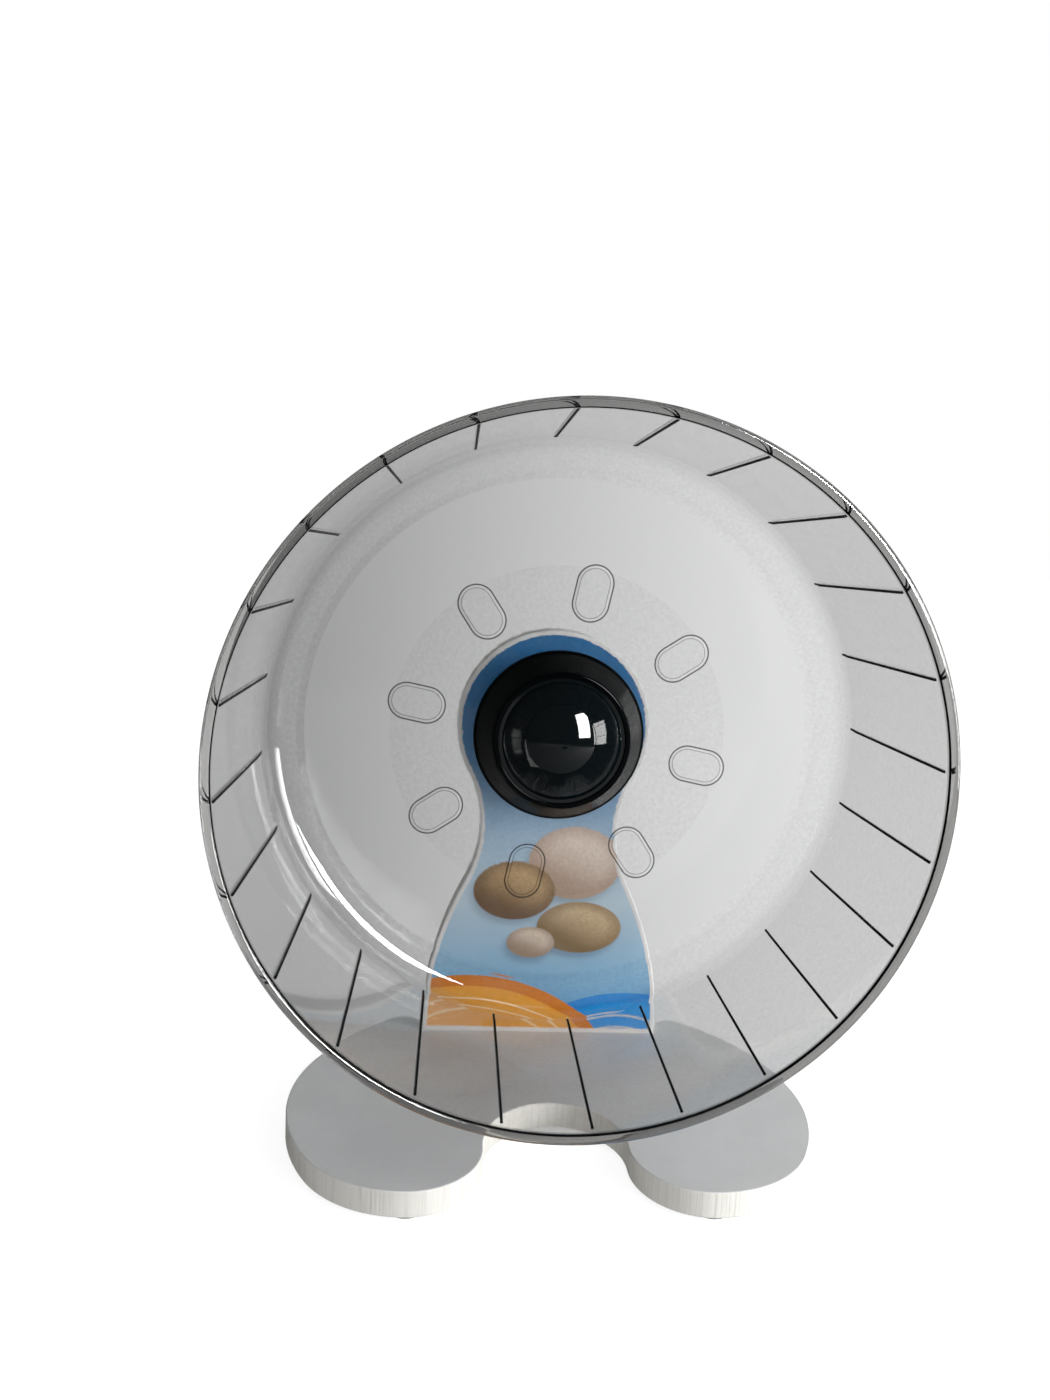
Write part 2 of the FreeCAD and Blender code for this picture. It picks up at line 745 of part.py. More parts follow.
def make_upright():
    """Keyhole-shaped board behind the drum, drilled for the axle and for the stand screws.
    Its foot goes down behind the base to the level of the base's underside."""
    upright = new_body("upright_board")
    foot_end = "-(axle_drop + board)"
    left_foot, *flanks = keyhole("0")
    corners = [("-foot_half", foot_end), ("foot_half", foot_end), *flanks, left_foot]
    face = outline(new_sketch(upright, "upright_face", "XZ_Plane"), corners)
    extruded(upright, face, "upright_cut", "board", backwards=True)
    rims = [name for y in (0, value("board")) for name, edge in edges_at(upright, y)
            if abs(edge.BoundBox.ZMax - value(foot_end)) > NEAR]
    rounded(upright, rims, "upright_edges", "edge_round")
    holes = round_hole(new_sketch(upright, "upright_holes", "XZ_Plane"),
                       "0", "0", "axle_radius + axle_play")
    for step in STAND_SCREW_STEPS:
        round_hole(holes, f"{step} * stand_screw_spacing", "-(axle_drop + board / 2)",
                   "stand_screw_radius")
    drilling = extruded(upright, holes, "upright_drilling", "board", kind="Pocket")
    sinks = [name for name, edge in edges_at(upright, value("board"))
             if is_circle(edge, "stand_screw_radius")]
    countersink = upright.newObject("PartDesign::Chamfer", "countersinks")
    countersink.Base = (drilling, sinks)
    bind(countersink, Size="stand_screw_head - stand_screw_radius")
    bind(upright, Placement__Base__y="front_y + upright_face", Placement__Base__z="axle_height")
    sub_part(upright, "upright_board")


def make_label():
    """Printed sheet stuck on the front of the upright, with a hole for the axle's washer."""
    label = new_body("front_label")
    sheet_face = outline(new_sketch(label, "label_face", "XZ_Plane"), keyhole("label_margin"))
    round_hole(sheet_face, "0", "0", "washer_radius + label_play")
    extruded(label, sheet_face, "label_sheet", "label_thickness")
    bind(label, Placement__Base__y="front_y + upright_face", Placement__Base__z="axle_height")
    sub_part(label, "front_label")


def make_base():
    """Base board with round sides, a round-ended notch between two front lobes and, at the rear,
    a seat for the upright's foot. Each side is one arc that runs on into lobe and rear corner."""
    inner_start = "base_front + lobe_inner"
    lobe_end_x = "side_x + (lobe_x - side_x) * side_radius / side_to_lobe"
    lobe_end_y = "side_depth + (lobe_depth - side_depth) * side_radius / side_to_lobe"
    side_end_x = "side_x + (rear_x - side_x) * side_radius / side_to_rear"
    side_end_y = "side_depth + (rear_depth - side_depth) * side_radius / side_to_rear"
    rear_end = "rear_depth + rear_corner"
    base = new_body("base_board")
    plan = outline(new_sketch(base, "base_plan", "XY_Plane"), [
        ("notch_half", "notch_centre"),
        ("notch_half", inner_start, "lobe_inner", Bend.LEFT),
        ("lobe_x", "base_front", "lobe_outer", Bend.LEFT),
        (lobe_end_x, lobe_end_y, "side_radius", Bend.LEFT),
        (side_end_x, side_end_y, "rear_corner", Bend.LEFT),
        ("rear_x", rear_end, "rear_corner", Bend.LEFT),
        ("seat_half", "rear_depth"),
        ("seat_half", "upright_face"),
        ("-seat_half", "upright_face"),
        ("-seat_half", "rear_depth", "rear_corner", Bend.LEFT),
        ("-rear_x", rear_end, "rear_corner", Bend.LEFT),
        (f"-({side_end_x})", side_end_y, "side_radius", Bend.LEFT),
        (f"-({lobe_end_x})", lobe_end_y, "lobe_outer", Bend.LEFT),
        ("-lobe_x", "base_front", "lobe_inner", Bend.LEFT),
        ("-notch_half", inner_start),
        ("-notch_half", "notch_centre", "notch_half", Bend.RIGHT),
        ("0", "notch_centre + notch_half", "notch_half", Bend.RIGHT),
    ])
    extruded(base, plan, "base_cut", "board")
    seat_rims = [name for name, _ in edges_at(base, value("upright_face"))]
    rims = []
    for index, edge in enumerate(base.Tip.Shape.Edges, start=1):
        if edge.BoundBox.ZLength < NEAR and f"Edge{index}" not in seat_rims:
            rims.append(f"Edge{index}")
    rounded(base, rims, "base_edges", "edge_round")
    pilots = new_sketch(base, "stand_pilots", "XZ_Plane", "-upright_face")
    for step in STAND_SCREW_STEPS:
        round_hole(pilots, f"{step} * stand_screw_spacing", "board / 2", "stand_screw_radius")
    extruded(base, pilots, "stand_piloting", "stand_screw_length - board",
             kind="Pocket", backwards=True)
    bind(base, Placement__Base__y="front_y", Placement__Base__z="pad_thickness")
    sub_part(base, "base_board")


def make_stand_screws():
    """Countersunk screws from behind, through the foot of the upright into the base's seat."""
    head_height = "stand_screw_head - stand_screw_radius"
    pieces = []
    for step in STAND_SCREW_STEPS:
        x = f"{step} * stand_screw_spacing"
        head = doc.addObject("Part::Cone", f"stand_screw_head_{step + 1}")
        bind(head, Radius1="stand_screw_head", Radius2="stand_screw_radius", Height=head_height)
        bind(head, Placement__Base__x=x)
        pieces.append(head)
        pieces.append(cylinder(f"stand_screw_shank_{step + 1}", "stand_screw_radius",
                               "stand_screw_length", x=x))
    screws = fused("stand_screws", pieces)
    screws.Placement = Placement(Vector(0, 0, 0), Rotation(Vector(1, 0, 0), 90))
    bind(screws, Placement__Base__y="front_y + upright_rear",
         Placement__Base__z="pad_thickness + board / 2")
    sub_part(screws, "stand_screws")


def make_foot_pads():
    """Round anti-slip pads under the front lobes and the rear corners."""
    spots = [
        ("lobe_x", "base_front + pad_inset + pad_radius"),
        ("rear_x", "rear_depth"),
    ]
    pads = []
    for row, (x, y) in enumerate(spots):
        for side in (-1, 1):
            name = f"pad_{row}_{'left' if side < 0 else 'right'}"
            pads.append(cylinder(name, "pad_radius", "pad_thickness", x=f"{side} * {x}", y=y))
    group = grouped("foot_pads", pads)
    bind(group, Placement__Base__y="front_y")
    sub_part(group, "foot_pads")


def check_and_export():
    """Stop on any failed feature or bad shape, then write one file for each piece."""
    doc.recompute()
    for item in doc.Objects:
        if "Invalid" in item.State or "Error" in item.State:
            raise RuntimeError(f"{item.Label} did not compute: {item.State}")
    for piece in sub_parts:
        if piece.Shape.isNull() or not piece.Shape.isValid():
            raise RuntimeError(f"{piece.Label} has no valid shape")
    os.makedirs("parts", exist_ok=True)
    for piece in sub_parts:
        piece.Shape.exportStep(f"parts/{piece.Label}.step")
        solids = len(piece.Shape.Solids)
        print(f"{piece.Label}: {solids} solid(s), {piece.Shape.Volume / 1000:.3f} cm3")


fill_sheet()
make_drum()
make_hub_housing()
make_hub_cap()
make_hub_rear_plate()
make_hub_screws()
make_bearing("front", "front_bearing")
make_bearing("rear", "rear_bearing")
make_axle()
make_upright()
make_label()
make_base()
make_stand_screws()
make_foot_pads()
check_and_export()
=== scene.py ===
import math

import bmesh
import bpy
from mathutils import Matrix, Vector
from mathutils.geometry import delaunay_2d_cdt


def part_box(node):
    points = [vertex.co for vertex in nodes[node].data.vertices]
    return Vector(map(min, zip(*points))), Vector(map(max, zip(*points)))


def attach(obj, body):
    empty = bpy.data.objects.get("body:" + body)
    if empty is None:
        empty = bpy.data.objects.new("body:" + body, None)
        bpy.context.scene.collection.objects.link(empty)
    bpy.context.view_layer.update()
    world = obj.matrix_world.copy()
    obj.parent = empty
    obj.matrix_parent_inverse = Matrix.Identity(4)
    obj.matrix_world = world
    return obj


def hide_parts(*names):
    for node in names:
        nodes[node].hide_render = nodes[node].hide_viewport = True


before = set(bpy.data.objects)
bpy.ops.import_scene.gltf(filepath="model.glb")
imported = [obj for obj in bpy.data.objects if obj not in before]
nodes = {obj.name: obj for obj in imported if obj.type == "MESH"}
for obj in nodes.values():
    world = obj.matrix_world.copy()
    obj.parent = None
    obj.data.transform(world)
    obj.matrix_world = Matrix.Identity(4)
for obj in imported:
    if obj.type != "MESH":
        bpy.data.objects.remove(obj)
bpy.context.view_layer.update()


# Base board: a 12 mm sheet of white foamed plastic, routed to a plan with round sides, two lobes
# in front with a notch between them, and a seat behind for the upright's foot. Its skin is satin,
# and the cut edge shows fine upright marks of the cutter.

# Painted shade, in part: the faces are coloured greyer than the cut edge, partly the sheet's own
# tone and partly painted shade for faces that catch less light than the edges.
FACE_WHITE = (0.71, 0.715, 0.72)
FACE_SHADED = (0.64, 0.645, 0.65)
EDGE_CREAM = (0.82, 0.805, 0.76)
EDGE_MARK = (0.72, 0.705, 0.66)
SHEET_ROUGHNESS = 0.52
SHEET_GLOSS = 0.15
SHEET_GRAIN = 1500.0
MARKS_ACROSS = 620.0
MARKS_ALONG = 22.0
FACE_TO_EDGE = (0.85, 0.35)
CLOUDS = 38.0


def set_inputs(tree, node, values):
    """Set each named input of a node to a value, or join it to a socket."""
    for key, value in values.items():
        if isinstance(value, bpy.types.NodeSocket):
            tree.links.new(value, node.inputs[key])
        else:
            node.inputs[key].default_value = value


def add_node(tree, kind, values=None, **settings):
    """A node with its settings and its inputs."""
    node = tree.nodes.new(kind)
    for name, setting in settings.items():
        setattr(node, name, setting)
    set_inputs(tree, node, values or {})
    return node


def calculate(tree, operation, *values):
    """One sum on numbers or sockets."""
    node = add_node(tree, "ShaderNodeMath", dict(enumerate(values)), operation=operation)
    return node.outputs[0]


def blend_colours(tree, factor, first, second):
    """The first colour where the factor is 0, the second where it is 1."""
    first, second = (colour if isinstance(colour, bpy.types.NodeSocket) else (*colour, 1)
                     for colour in (first, second))
    mix = add_node(tree, "ShaderNodeMix", {0: factor, 6: first, 7: second},
                   data_type="RGBA", clamp_factor=True)
    return mix.outputs[2]


def between(tree, value, low, high, from_value=0.0, to_value=1.0):
    """A smooth step of a value between two marks."""
    step = add_node(tree, "ShaderNodeMapRange", {
        "Value": value, "From Min": low, "From Max": high,
        "To Min": from_value, "To Max": to_value}, interpolation_type="SMOOTHSTEP")
    return step.outputs["Result"]


def new_material(name):
    """A material with a Principled shader: its tree, the shader and the place on the piece."""
    material = bpy.data.materials.new(name)
    material.use_nodes = True
    tree = material.node_tree
    return material, tree, tree.nodes["Principled BSDF"], tree.nodes.new("ShaderNodeTexCoord")


def new_group(name, inputs, outputs):
    """A shader group with number or vector sockets: its tree, inner inputs and outputs."""
    kinds = {float: "NodeSocketFloat", Vector: "NodeSocketVector"}
    group = bpy.data.node_groups.new(name, "ShaderNodeTree")
    for way, sockets in (("INPUT", inputs), ("OUTPUT", outputs)):
        for label, kind in sockets.items():
            group.interface.new_socket(label, in_out=way, socket_type=kinds[kind])
    return group, group.nodes.new("NodeGroupInput"), group.nodes.new("NodeGroupOutput")


def raise_surface(tree, shader, height, strength, distance):
    """Fine relief on the surface of a material."""
    bump = add_node(tree, "ShaderNodeBump", {
        "Height": height, "Strength": strength, "Distance": distance})
    tree.links.new(bump.outputs[0], shader.inputs["Normal"])


def dress(node_name, material):
    """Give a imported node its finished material."""
    for slot in nodes[node_name].material_slots:
        slot.material = material


fine_grain, grain_in, grain_out = new_group(
    "fine_grain",
    {"Place": Vector, "Scale": float},
    {"Shade": float, "Height": float})
cloudy = add_node(fine_grain, "ShaderNodeTexNoise", {
    "Vector": grain_in.outputs["Place"], "Scale": CLOUDS, "Detail": 3.0})
pores = add_node(fine_grain, "ShaderNodeTexNoise", {
    "Vector": grain_in.outputs["Place"], "Scale": grain_in.outputs["Scale"], "Detail": 4.0,
    "Roughness": 0.65})
both = calculate(fine_grain, "ADD", cloudy.outputs["Fac"], pores.outputs["Fac"])
set_inputs(fine_grain, grain_out, {
    "Shade": calculate(fine_grain, "MULTIPLY", both, 0.5), "Height": pores.outputs["Fac"]})


def add_grain(tree, place, scale):
    """The fine grain on a piece, finer with a larger scale."""
    return add_node(tree, "ShaderNodeGroup", {"Place": place.outputs["Object"], "Scale": scale},
                    node_tree=fine_grain)


def sheet_material(name, face_axis):
    """White foamed sheet whose faces look along an axis and whose edges are cut."""
    material, tree, shader, place = new_material(name)
    normal = add_node(tree, "ShaderNodeSeparateXYZ", {0: place.outputs["Normal"]})
    facing = calculate(tree, "ABSOLUTE", normal.outputs[face_axis])
    edge = between(tree, facing, *FACE_TO_EDGE)
    marks_scale = [MARKS_ACROSS] * 3
    marks_scale["XYZ".index(face_axis)] = MARKS_ALONG
    marks_place = add_node(tree, "ShaderNodeMapping", {
        "Vector": place.outputs["Object"], "Scale": marks_scale})
    marks = add_node(tree, "ShaderNodeTexNoise", {
        "Vector": marks_place.outputs[0], "Scale": 1.0, "Detail": 3.0, "Roughness": 0.6})
    streak = between(tree, marks.outputs["Fac"], 0.42, 0.72)
    grain = add_grain(tree, place, SHEET_GRAIN)
    shade = between(tree, grain.outputs["Shade"], 0.35, 0.68)
    face_colour = blend_colours(tree, shade, FACE_SHADED, FACE_WHITE)
    edge_colour = blend_colours(tree, streak, EDGE_CREAM, EDGE_MARK)
    rough_face = calculate(tree, "MULTIPLY_ADD", shade, 0.1, SHEET_ROUGHNESS)
    set_inputs(tree, shader, {
        "Base Color": blend_colours(tree, edge, face_colour, edge_colour),
        "Roughness": calculate(tree, "MULTIPLY_ADD", edge, 0.3, rough_face),
        "Specular IOR Level": SHEET_GLOSS})
    cut_height = calculate(tree, "MULTIPLY", calculate(tree, "MULTIPLY", streak, edge), -1.0)
    height = calculate(tree, "MULTIPLY_ADD", grain.outputs["Height"], 0.25, cut_height)
    raise_surface(tree, shader, height, strength=0.35, distance=0.0003)
    return material


dress("base_board", sheet_material("white_sheet_base", "Z"))


# Foot pads: four round pads of soft grey rubber, stuck under the base near its corners to keep it
# from sliding. They are punched from pimpled sheet, so a fine pattern of pips covers them.

PAD_DARK = (0.33, 0.33, 0.32)
PAD_PALE = (0.46, 0.46, 0.45)
PAD_PIPS = 900.0
PAD_GRAIN = 2200.0
material, tree, shader, place = new_material("pad_rubber_grey")
pips = add_node(tree, "ShaderNodeTexVoronoi", {
    "Vector": place.outputs["Object"], "Scale": PAD_PIPS, "Randomness": 0.15}, feature="F1")
grain = add_grain(tree, place, PAD_GRAIN)
tone = between(tree, grain.outputs["Shade"], 0.3, 0.7)
set_inputs(tree, shader, {
    "Base Color": blend_colours(tree, tone, PAD_DARK, PAD_PALE),
    "Roughness": calculate(tree, "MULTIPLY_ADD", tone, 0.12, 0.72)})
raise_surface(tree, shader, pips.outputs["Distance"], strength=0.4, distance=0.0004)
dress("foot_pads", material)


# Upright board: a keyhole-shaped board of the same white sheet. Its foot stands in the seat at the
# back of the base and is screwed to it from behind; its rounded head carries the axle bolt.

dress("upright_board", sheet_material("white_sheet_upright", "Y"))


# Plated hardware: the axle bolt with its washers, nuts, collar and spacer, all of zinc-plated
# steel. They are turned and rolled, with faint tool marks under a cloudy bright plating.

PLATING_DARK = (0.46, 0.46, 0.44)
PLATING_BRIGHT = (0.66, 0.66, 0.65)


def steel_material(name, dark, bright, roughness, mark_scale):
    """Bare or plated steel with fine tool marks."""
    material, tree, shader, place = new_material(name)
    grain = add_grain(tree, place, mark_scale)
    tone = between(tree, grain.outputs["Shade"], 0.3, 0.7)
    set_inputs(tree, shader, {
        "Base Color": blend_colours(tree, tone, dark, bright),
        "Metallic": 1.0,
        "Roughness": calculate(tree, "MULTIPLY_ADD", tone, 0.14, roughness)})
    raise_surface(tree, shader, grain.outputs["Height"], strength=0.12, distance=0.0001)
    return material


plated = steel_material("zinc_plated_steel", PLATING_DARK, PLATING_BRIGHT,
                        roughness=0.26, mark_scale=1400.0)
for name in ("axle_bolt", "back_washer", "front_washer", "clamp_nut", "axle_collar",
             "race_spacer", "lock_washer", "lock_nut"):
    dress(name, plated)


# Screws: plated steel with a cross pressed into the head. Three countersunk ones go from behind
# through the foot of the upright into the base; four pan heads draw the hub's rear plate to its
# housing. Each profile is radius and height from the face that is screwed down, in millimetres.

MM = 0.001
AXLE = Vector((0.0, 0.0, 0.1875))
REST_TURN = math.radians(10.8)
COUNTERSUNK = ((0, 0), (4.3, 0), (4.4, -0.1), (2.2, -2.2), (2.2, -41.6), (1.8, -42), (0, -42))
PAN_HEAD = ((0, 2.6), (2.2, 2.52), (3.1, 2.28), (3.7, 1.8), (4.0, 1.0), (4.0, 0), (2.0, 0),
            (2.0, -13.6), (1.6, -14), (0, -14))
COUNTERSUNK_CROSS = {"half_length": 2.4, "half_width": 0.55, "top": 0.0, "depth": 1.8}
PAN_HEAD_CROSS = {"half_length": 2.2, "half_width": 0.5, "top": 2.6, "depth": 1.7}
CROSS_TAPER = 0.4
CROSS_ABOVE = 0.5
SCREW_SIDES = 48
SCREW_CIRCLE = 25.0
SCREW_EDGE = math.radians(28)
STAND_SCREW_FACE = 75.85
STAND_SCREW_HEIGHT = 7.5
STAND_SCREW_STEP = 40.0
HUB_SCREW_FACE = 45.85
HUB_SCREWS = 4
HEAD_TO_BACK = (-math.pi / 2, 0, 0)


def place_mesh(name, mesh):
    """An object of a mesh, put in the scene."""
    piece = bpy.data.objects.new(name, mesh)
    bpy.context.scene.collection.objects.link(piece)
    return piece


def place_shape(name, shape):
    """An object of a drawn shape, put in the scene."""
    mesh = bpy.data.meshes.new(name)
    shape.to_mesh(mesh)
    shape.free()
    return place_mesh(name, mesh)


def face_outwards(shape):
    """Turn the faces of a closed shape outwards."""
    bmesh.ops.recalc_face_normals(shape, faces=shape.faces[:])


def turned_body(name, profile):
    """A closed body turned about its own axis."""
    shape = bmesh.new()
    rings = []
    for radius, along in profile:
        corners = SCREW_SIDES if radius else 1
        turns = [2 * math.pi * step / SCREW_SIDES for step in range(corners)]
        rings.append([shape.verts.new((radius * math.cos(turn) * MM, radius * math.sin(turn) * MM,
                                       along * MM)) for turn in turns])
    for first, second in zip(rings, rings[1:]):
        for step in range(SCREW_SIDES):
            after = (step + 1) % SCREW_SIDES
            corners = [first[step % len(first)], second[step % len(second)],
                       second[after % len(second)], first[after % len(first)]]
            shape.faces.new(list(dict.fromkeys(corners)))
    face_outwards(shape)
    return place_shape(name, shape)


def cross_punch(name, half_length, half_width, top, depth):
    """The tapered cross that is pressed into a head."""
    arm = ((half_length, -half_width), (half_length, half_width), (half_width, half_width))
    outline = []
    for c, s in ((1, 0), (0, 1), (-1, 0), (0, -1)):
        outline += [(x * c - y * s, x * s + y * c) for x, y in arm]
    shape = bmesh.new()
    upper, lower = (
        [shape.verts.new((x * size * MM, y * size * MM, height * MM)) for x, y in outline]
        for size, height in ((1.0, top + CROSS_ABOVE), (CROSS_TAPER, top - depth)))
    for index in range(len(outline)):
        after = (index + 1) % len(outline)
        shape.faces.new((upper[index], upper[after], lower[after], lower[index]))
    shape.faces.new(upper)
    shape.faces.new(lower)
    face_outwards(shape)
    return place_shape(name, shape)


def new_tree(name, sockets):
    """A geometry tree with named inputs: the tree, its inner inputs, outputs and identifiers."""
    tree = bpy.data.node_groups.new(name, "GeometryNodeTree")
    for way in ("INPUT", "OUTPUT"):
        tree.interface.new_socket("Geometry", in_out=way, socket_type="NodeSocketGeometry")
    keys = {}
    for label, kind in sockets.items():
        socket = tree.interface.new_socket(label, in_out="INPUT", socket_type=kind)
        keys[label] = socket.identifier
    return tree, tree.nodes.new("NodeGroupInput"), tree.nodes.new("NodeGroupOutput"), keys


def grow(piece, tree, keys, values):
    """Run a geometry tree on a piece with its named sizes, and keep the plain mesh."""
    modifier = piece.modifiers.new(tree.name, "NODES")
    modifier.node_group = tree
    for label, value in values.items():
        modifier[keys[label]] = value
    grown = piece.evaluated_get(bpy.context.evaluated_depsgraph_get())
    mesh = bpy.data.meshes.new_from_object(grown)
    piece.modifiers.remove(modifier)
    mesh.name = piece.name
    piece.data = mesh
    return mesh


screw_tree, screw_in, screw_out, screw_keys = new_tree("screws_in_place", {
    "Screw": "NodeSocketObject", "Cross": "NodeSocketObject", "Facing": "NodeSocketVector",
    "Material": "NodeSocketMaterial"})
body = add_node(screw_tree, "GeometryNodeObjectInfo", {"Object": screw_in.outputs["Screw"]})
punch = add_node(screw_tree, "GeometryNodeObjectInfo", {"Object": screw_in.outputs["Cross"]})
pressed = add_node(screw_tree, "GeometryNodeMeshBoolean", {
    "Mesh 1": body.outputs["Geometry"], "Mesh 2": punch.outputs["Geometry"]},
    operation="DIFFERENCE", solver="EXACT")
copies = add_node(screw_tree, "GeometryNodeInstanceOnPoints", {
    "Points": screw_in.outputs["Geometry"], "Instance": pressed.outputs["Mesh"],
    "Rotation": screw_in.outputs["Facing"]})
whole = add_node(screw_tree, "GeometryNodeRealizeInstances", {0: copies.outputs[0]})
dressed = add_node(screw_tree, "GeometryNodeSetMaterial", {
    "Geometry": whole.outputs[0], "Material": screw_in.outputs["Material"]})
screw_tree.links.new(dressed.outputs[0], screw_out.inputs[0])


def set_screws(name, node_name, body_name, places, profile, cross):
    """Screws at their places, with the heads towards the back."""
    mesh = bpy.data.meshes.new(name)
    mesh.from_pydata(places, [], [])
    screws = place_mesh(name, mesh)
    one, punch = turned_body(name + "_body", profile), cross_punch(name + "_cross", **cross)
    mesh = grow(screws, screw_tree, screw_keys, {
        "Screw": one, "Cross": punch, "Facing": HEAD_TO_BACK, "Material": plated})
    mesh.shade_smooth()
    mesh.set_sharp_from_angle(angle=SCREW_EDGE)
    for spare in (one, punch):
        bpy.data.objects.remove(spare)
    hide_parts(node_name)
    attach(screws, body_name)


set_screws("countersunk_screws", "stand_screws", "stand", [
    (step * STAND_SCREW_STEP * MM, STAND_SCREW_FACE * MM, STAND_SCREW_HEIGHT * MM)
    for step in (-1, 0, 1)], COUNTERSUNK, COUNTERSUNK_CROSS)
hub_screw_turns = [REST_TURN + 2 * math.pi * screw / HUB_SCREWS for screw in range(HUB_SCREWS)]
set_screws("pan_head_screws", "hub_screws", "wheel", [
    (SCREW_CIRCLE * math.cos(turn) * MM, HUB_SCREW_FACE * MM,
     AXLE.z - SCREW_CIRCLE * math.sin(turn) * MM)
    for turn in hub_screw_turns], PAN_HEAD, PAN_HEAD_CROSS)


# Ball bearings: two shielded bearings of hardened steel, seated in the hub with a spacer between
# them. Their races are ground, and their balls run in pressed cages behind thin shields.

GROUND_DARK = (0.56, 0.56, 0.56)
GROUND_BRIGHT = (0.72, 0.72, 0.72)
ground = steel_material("ground_bearing_steel", GROUND_DARK, GROUND_BRIGHT,
                        roughness=0.12, mark_scale=3000.0)
for side in ("front", "rear"):
    for piece in ("inner_race", "outer_race", "balls", "cage", "shields"):
        dress(f"{side}_{piece}", ground)


# Printed label: a printed film stuck on the front of the upright. It is a white sheet with a
# coloured field inside a narrow border; the field shows a plain landscape of sky, pebbles and two
# round hills.

# Painted shade, in part: the white film is coloured a pinkish grey, partly its own tone and partly
# painted shade.
FILM_SHADED = (0.62, 0.59, 0.57)
FILM_PALE = (0.70, 0.67, 0.65)
FILM_GRAIN = 2600.0
HEAD_RADIUS = 51.0
NECK_RADIUS = 64.0
NECK_X = 100.6
NECK_DROP = 55.72
FLARE_RADIUS = 193.3
FOOT_HALF = 65.4
FOOT_DROP = 174.0
FIELD_INSET = 2.4
FIELD_HOLE = 13.0
PRINT_LIFT = 0.04
ARC_STEPS = 40
# How far up the field, and the colour of the sky there.
SKY = ((0.0, (0.04, 0.21, 0.42)), (0.16, (0.19, 0.37, 0.54)), (0.34, (0.43, 0.53, 0.61)),
       (0.50, (0.33, 0.45, 0.57)), (0.68, (0.05, 0.19, 0.38)), (0.84, (0.008, 0.13, 0.33)),
       (1.0, (0.004, 0.115, 0.30)))
# Across and up from the axle, half width, how flat, dark side and pale side.
PEBBLES = ((15, -74, 25, 1.25, (0.40, 0.27, 0.20), (0.78, 0.66, 0.57)),
           (-17, -90, 22, 1.35, (0.12, 0.06, 0.025), (0.56, 0.37, 0.18)),
           (19, -110, 23, 1.6, (0.20, 0.12, 0.05), (0.62, 0.46, 0.28)),
           (-7, -119, 13, 1.5, (0.30, 0.21, 0.15), (0.70, 0.58, 0.47)))
PEBBLE_SHADOW = (0.06, 0.09, 0.13)
SHADOW_ASIDE = 1.5
SHADOW_BELOW = 3.0
SHADOW_SOFT = 4.0
SHADOW_SHARE = 0.45
# Across and up from the axle, radius, rim and fill.
HILLS = ((44, -214, 66, (0.02, 0.20, 0.54), (0.01, 0.25, 0.64)),
         (-36, -222, 84, (0.56, 0.17, 0.02), (0.70, 0.30, 0.03)))
HILL_RIM = 7
HILL_LINES = (15, 22)
HILL_LINE = (0.80, 0.66, 0.42)
HILL_LINE_WIDTH = 1.1
HILL_LINE_SHARE = 0.7
PRINT_GLOW = (0.85, 0.90, 0.95)
PRINT_GLOW_SHARE = 0.03

material, tree, shader, place = new_material("label_film")
grain = add_grain(tree, place, FILM_GRAIN)
set_inputs(tree, shader, {
    "Base Color": blend_colours(tree, grain.outputs["Shade"], FILM_SHADED, FILM_PALE),
    "Roughness": 0.32})
dress("front_label", material)


def arc_points(centre, radius, start, end, steps):
    """Points of an arc in the plane of the upright, in millimetres from the axle."""
    angles = [start + (end - start) * step / steps for step in range(steps + 1)]
    return [(centre[0] + radius * math.cos(a), centre[1] + radius * math.sin(a)) for a in angles]


def keyhole_half(inset):
    """The right side of the keyhole, from the foot up to the top of the head."""
    flare_centre = (FOOT_HALF - FLARE_RADIUS, -FOOT_DROP)
    neck_centre = (NECK_X, -NECK_DROP)
    to_neck = math.atan2(neck_centre[1] - flare_centre[1], neck_centre[0] - flare_centre[0])
    to_head = math.atan2(-neck_centre[1], -neck_centre[0])
    foot = math.asin(inset / (FLARE_RADIUS - inset))
    flare = arc_points(flare_centre, FLARE_RADIUS - inset, foot, to_neck, ARC_STEPS)
    neck = arc_points(neck_centre, NECK_RADIUS + inset, to_neck + math.pi, to_head, ARC_STEPS)
    head = arc_points((0, 0), HEAD_RADIUS - inset, to_head - math.pi, math.pi / 2, ARC_STEPS)
    return flare + neck[1:] + head[1:]


right_side = keyhole_half(FIELD_INSET)
field_outline = right_side + [(-x, z) for x, z in reversed(right_side[:-1])]
field_hole = arc_points((0, 0), FIELD_HOLE, 0, 2 * math.pi, 2 * ARC_STEPS)[:-1]
field_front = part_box("front_label")[0].y - PRINT_LIFT * MM
shape = bmesh.new()
for loop in (field_outline, field_hole):
    corners = [shape.verts.new((x * MM, field_front, AXLE.z + z * MM)) for x, z in loop]
    for index, corner in enumerate(corners):
        shape.edges.new((corner, corners[(index + 1) % len(corners)]))
bmesh.ops.triangle_fill(shape, use_beauty=True, edges=shape.edges[:], normal=(0, -1, 0))
label_field = place_shape("label_field", shape)


def from_axle(tree, place, front=0.0):
    """Where a point of a piece is, in millimetres from the axle and a front: whole, x, y and z."""
    centred = add_node(tree, "ShaderNodeMapping", {
        "Vector": place.outputs["Object"], "Location": (0, -front, -AXLE.z / MM),
        "Scale": (1 / MM,) * 3})
    spot = add_node(tree, "ShaderNodeSeparateXYZ", {0: centred.outputs[0]})
    return centred.outputs[0], *spot.outputs


def length_of(tree, across, up):
    """How long a way across and up is."""
    squares = calculate(tree, "MULTIPLY_ADD", across, across, calculate(tree, "MULTIPLY", up, up))
    return calculate(tree, "SQRT", squares)


material, tree, shader, place = new_material("label_print")
centred, across, _, up = from_axle(tree, place)


def distance_from(x, z, stretch=1.0):
    """Millimetres from a spot of the print; a stretch above 1 flattens the circle."""
    dz = calculate(tree, "MULTIPLY", calculate(tree, "SUBTRACT", up, z), stretch)
    return length_of(tree, calculate(tree, "SUBTRACT", across, x), dz)


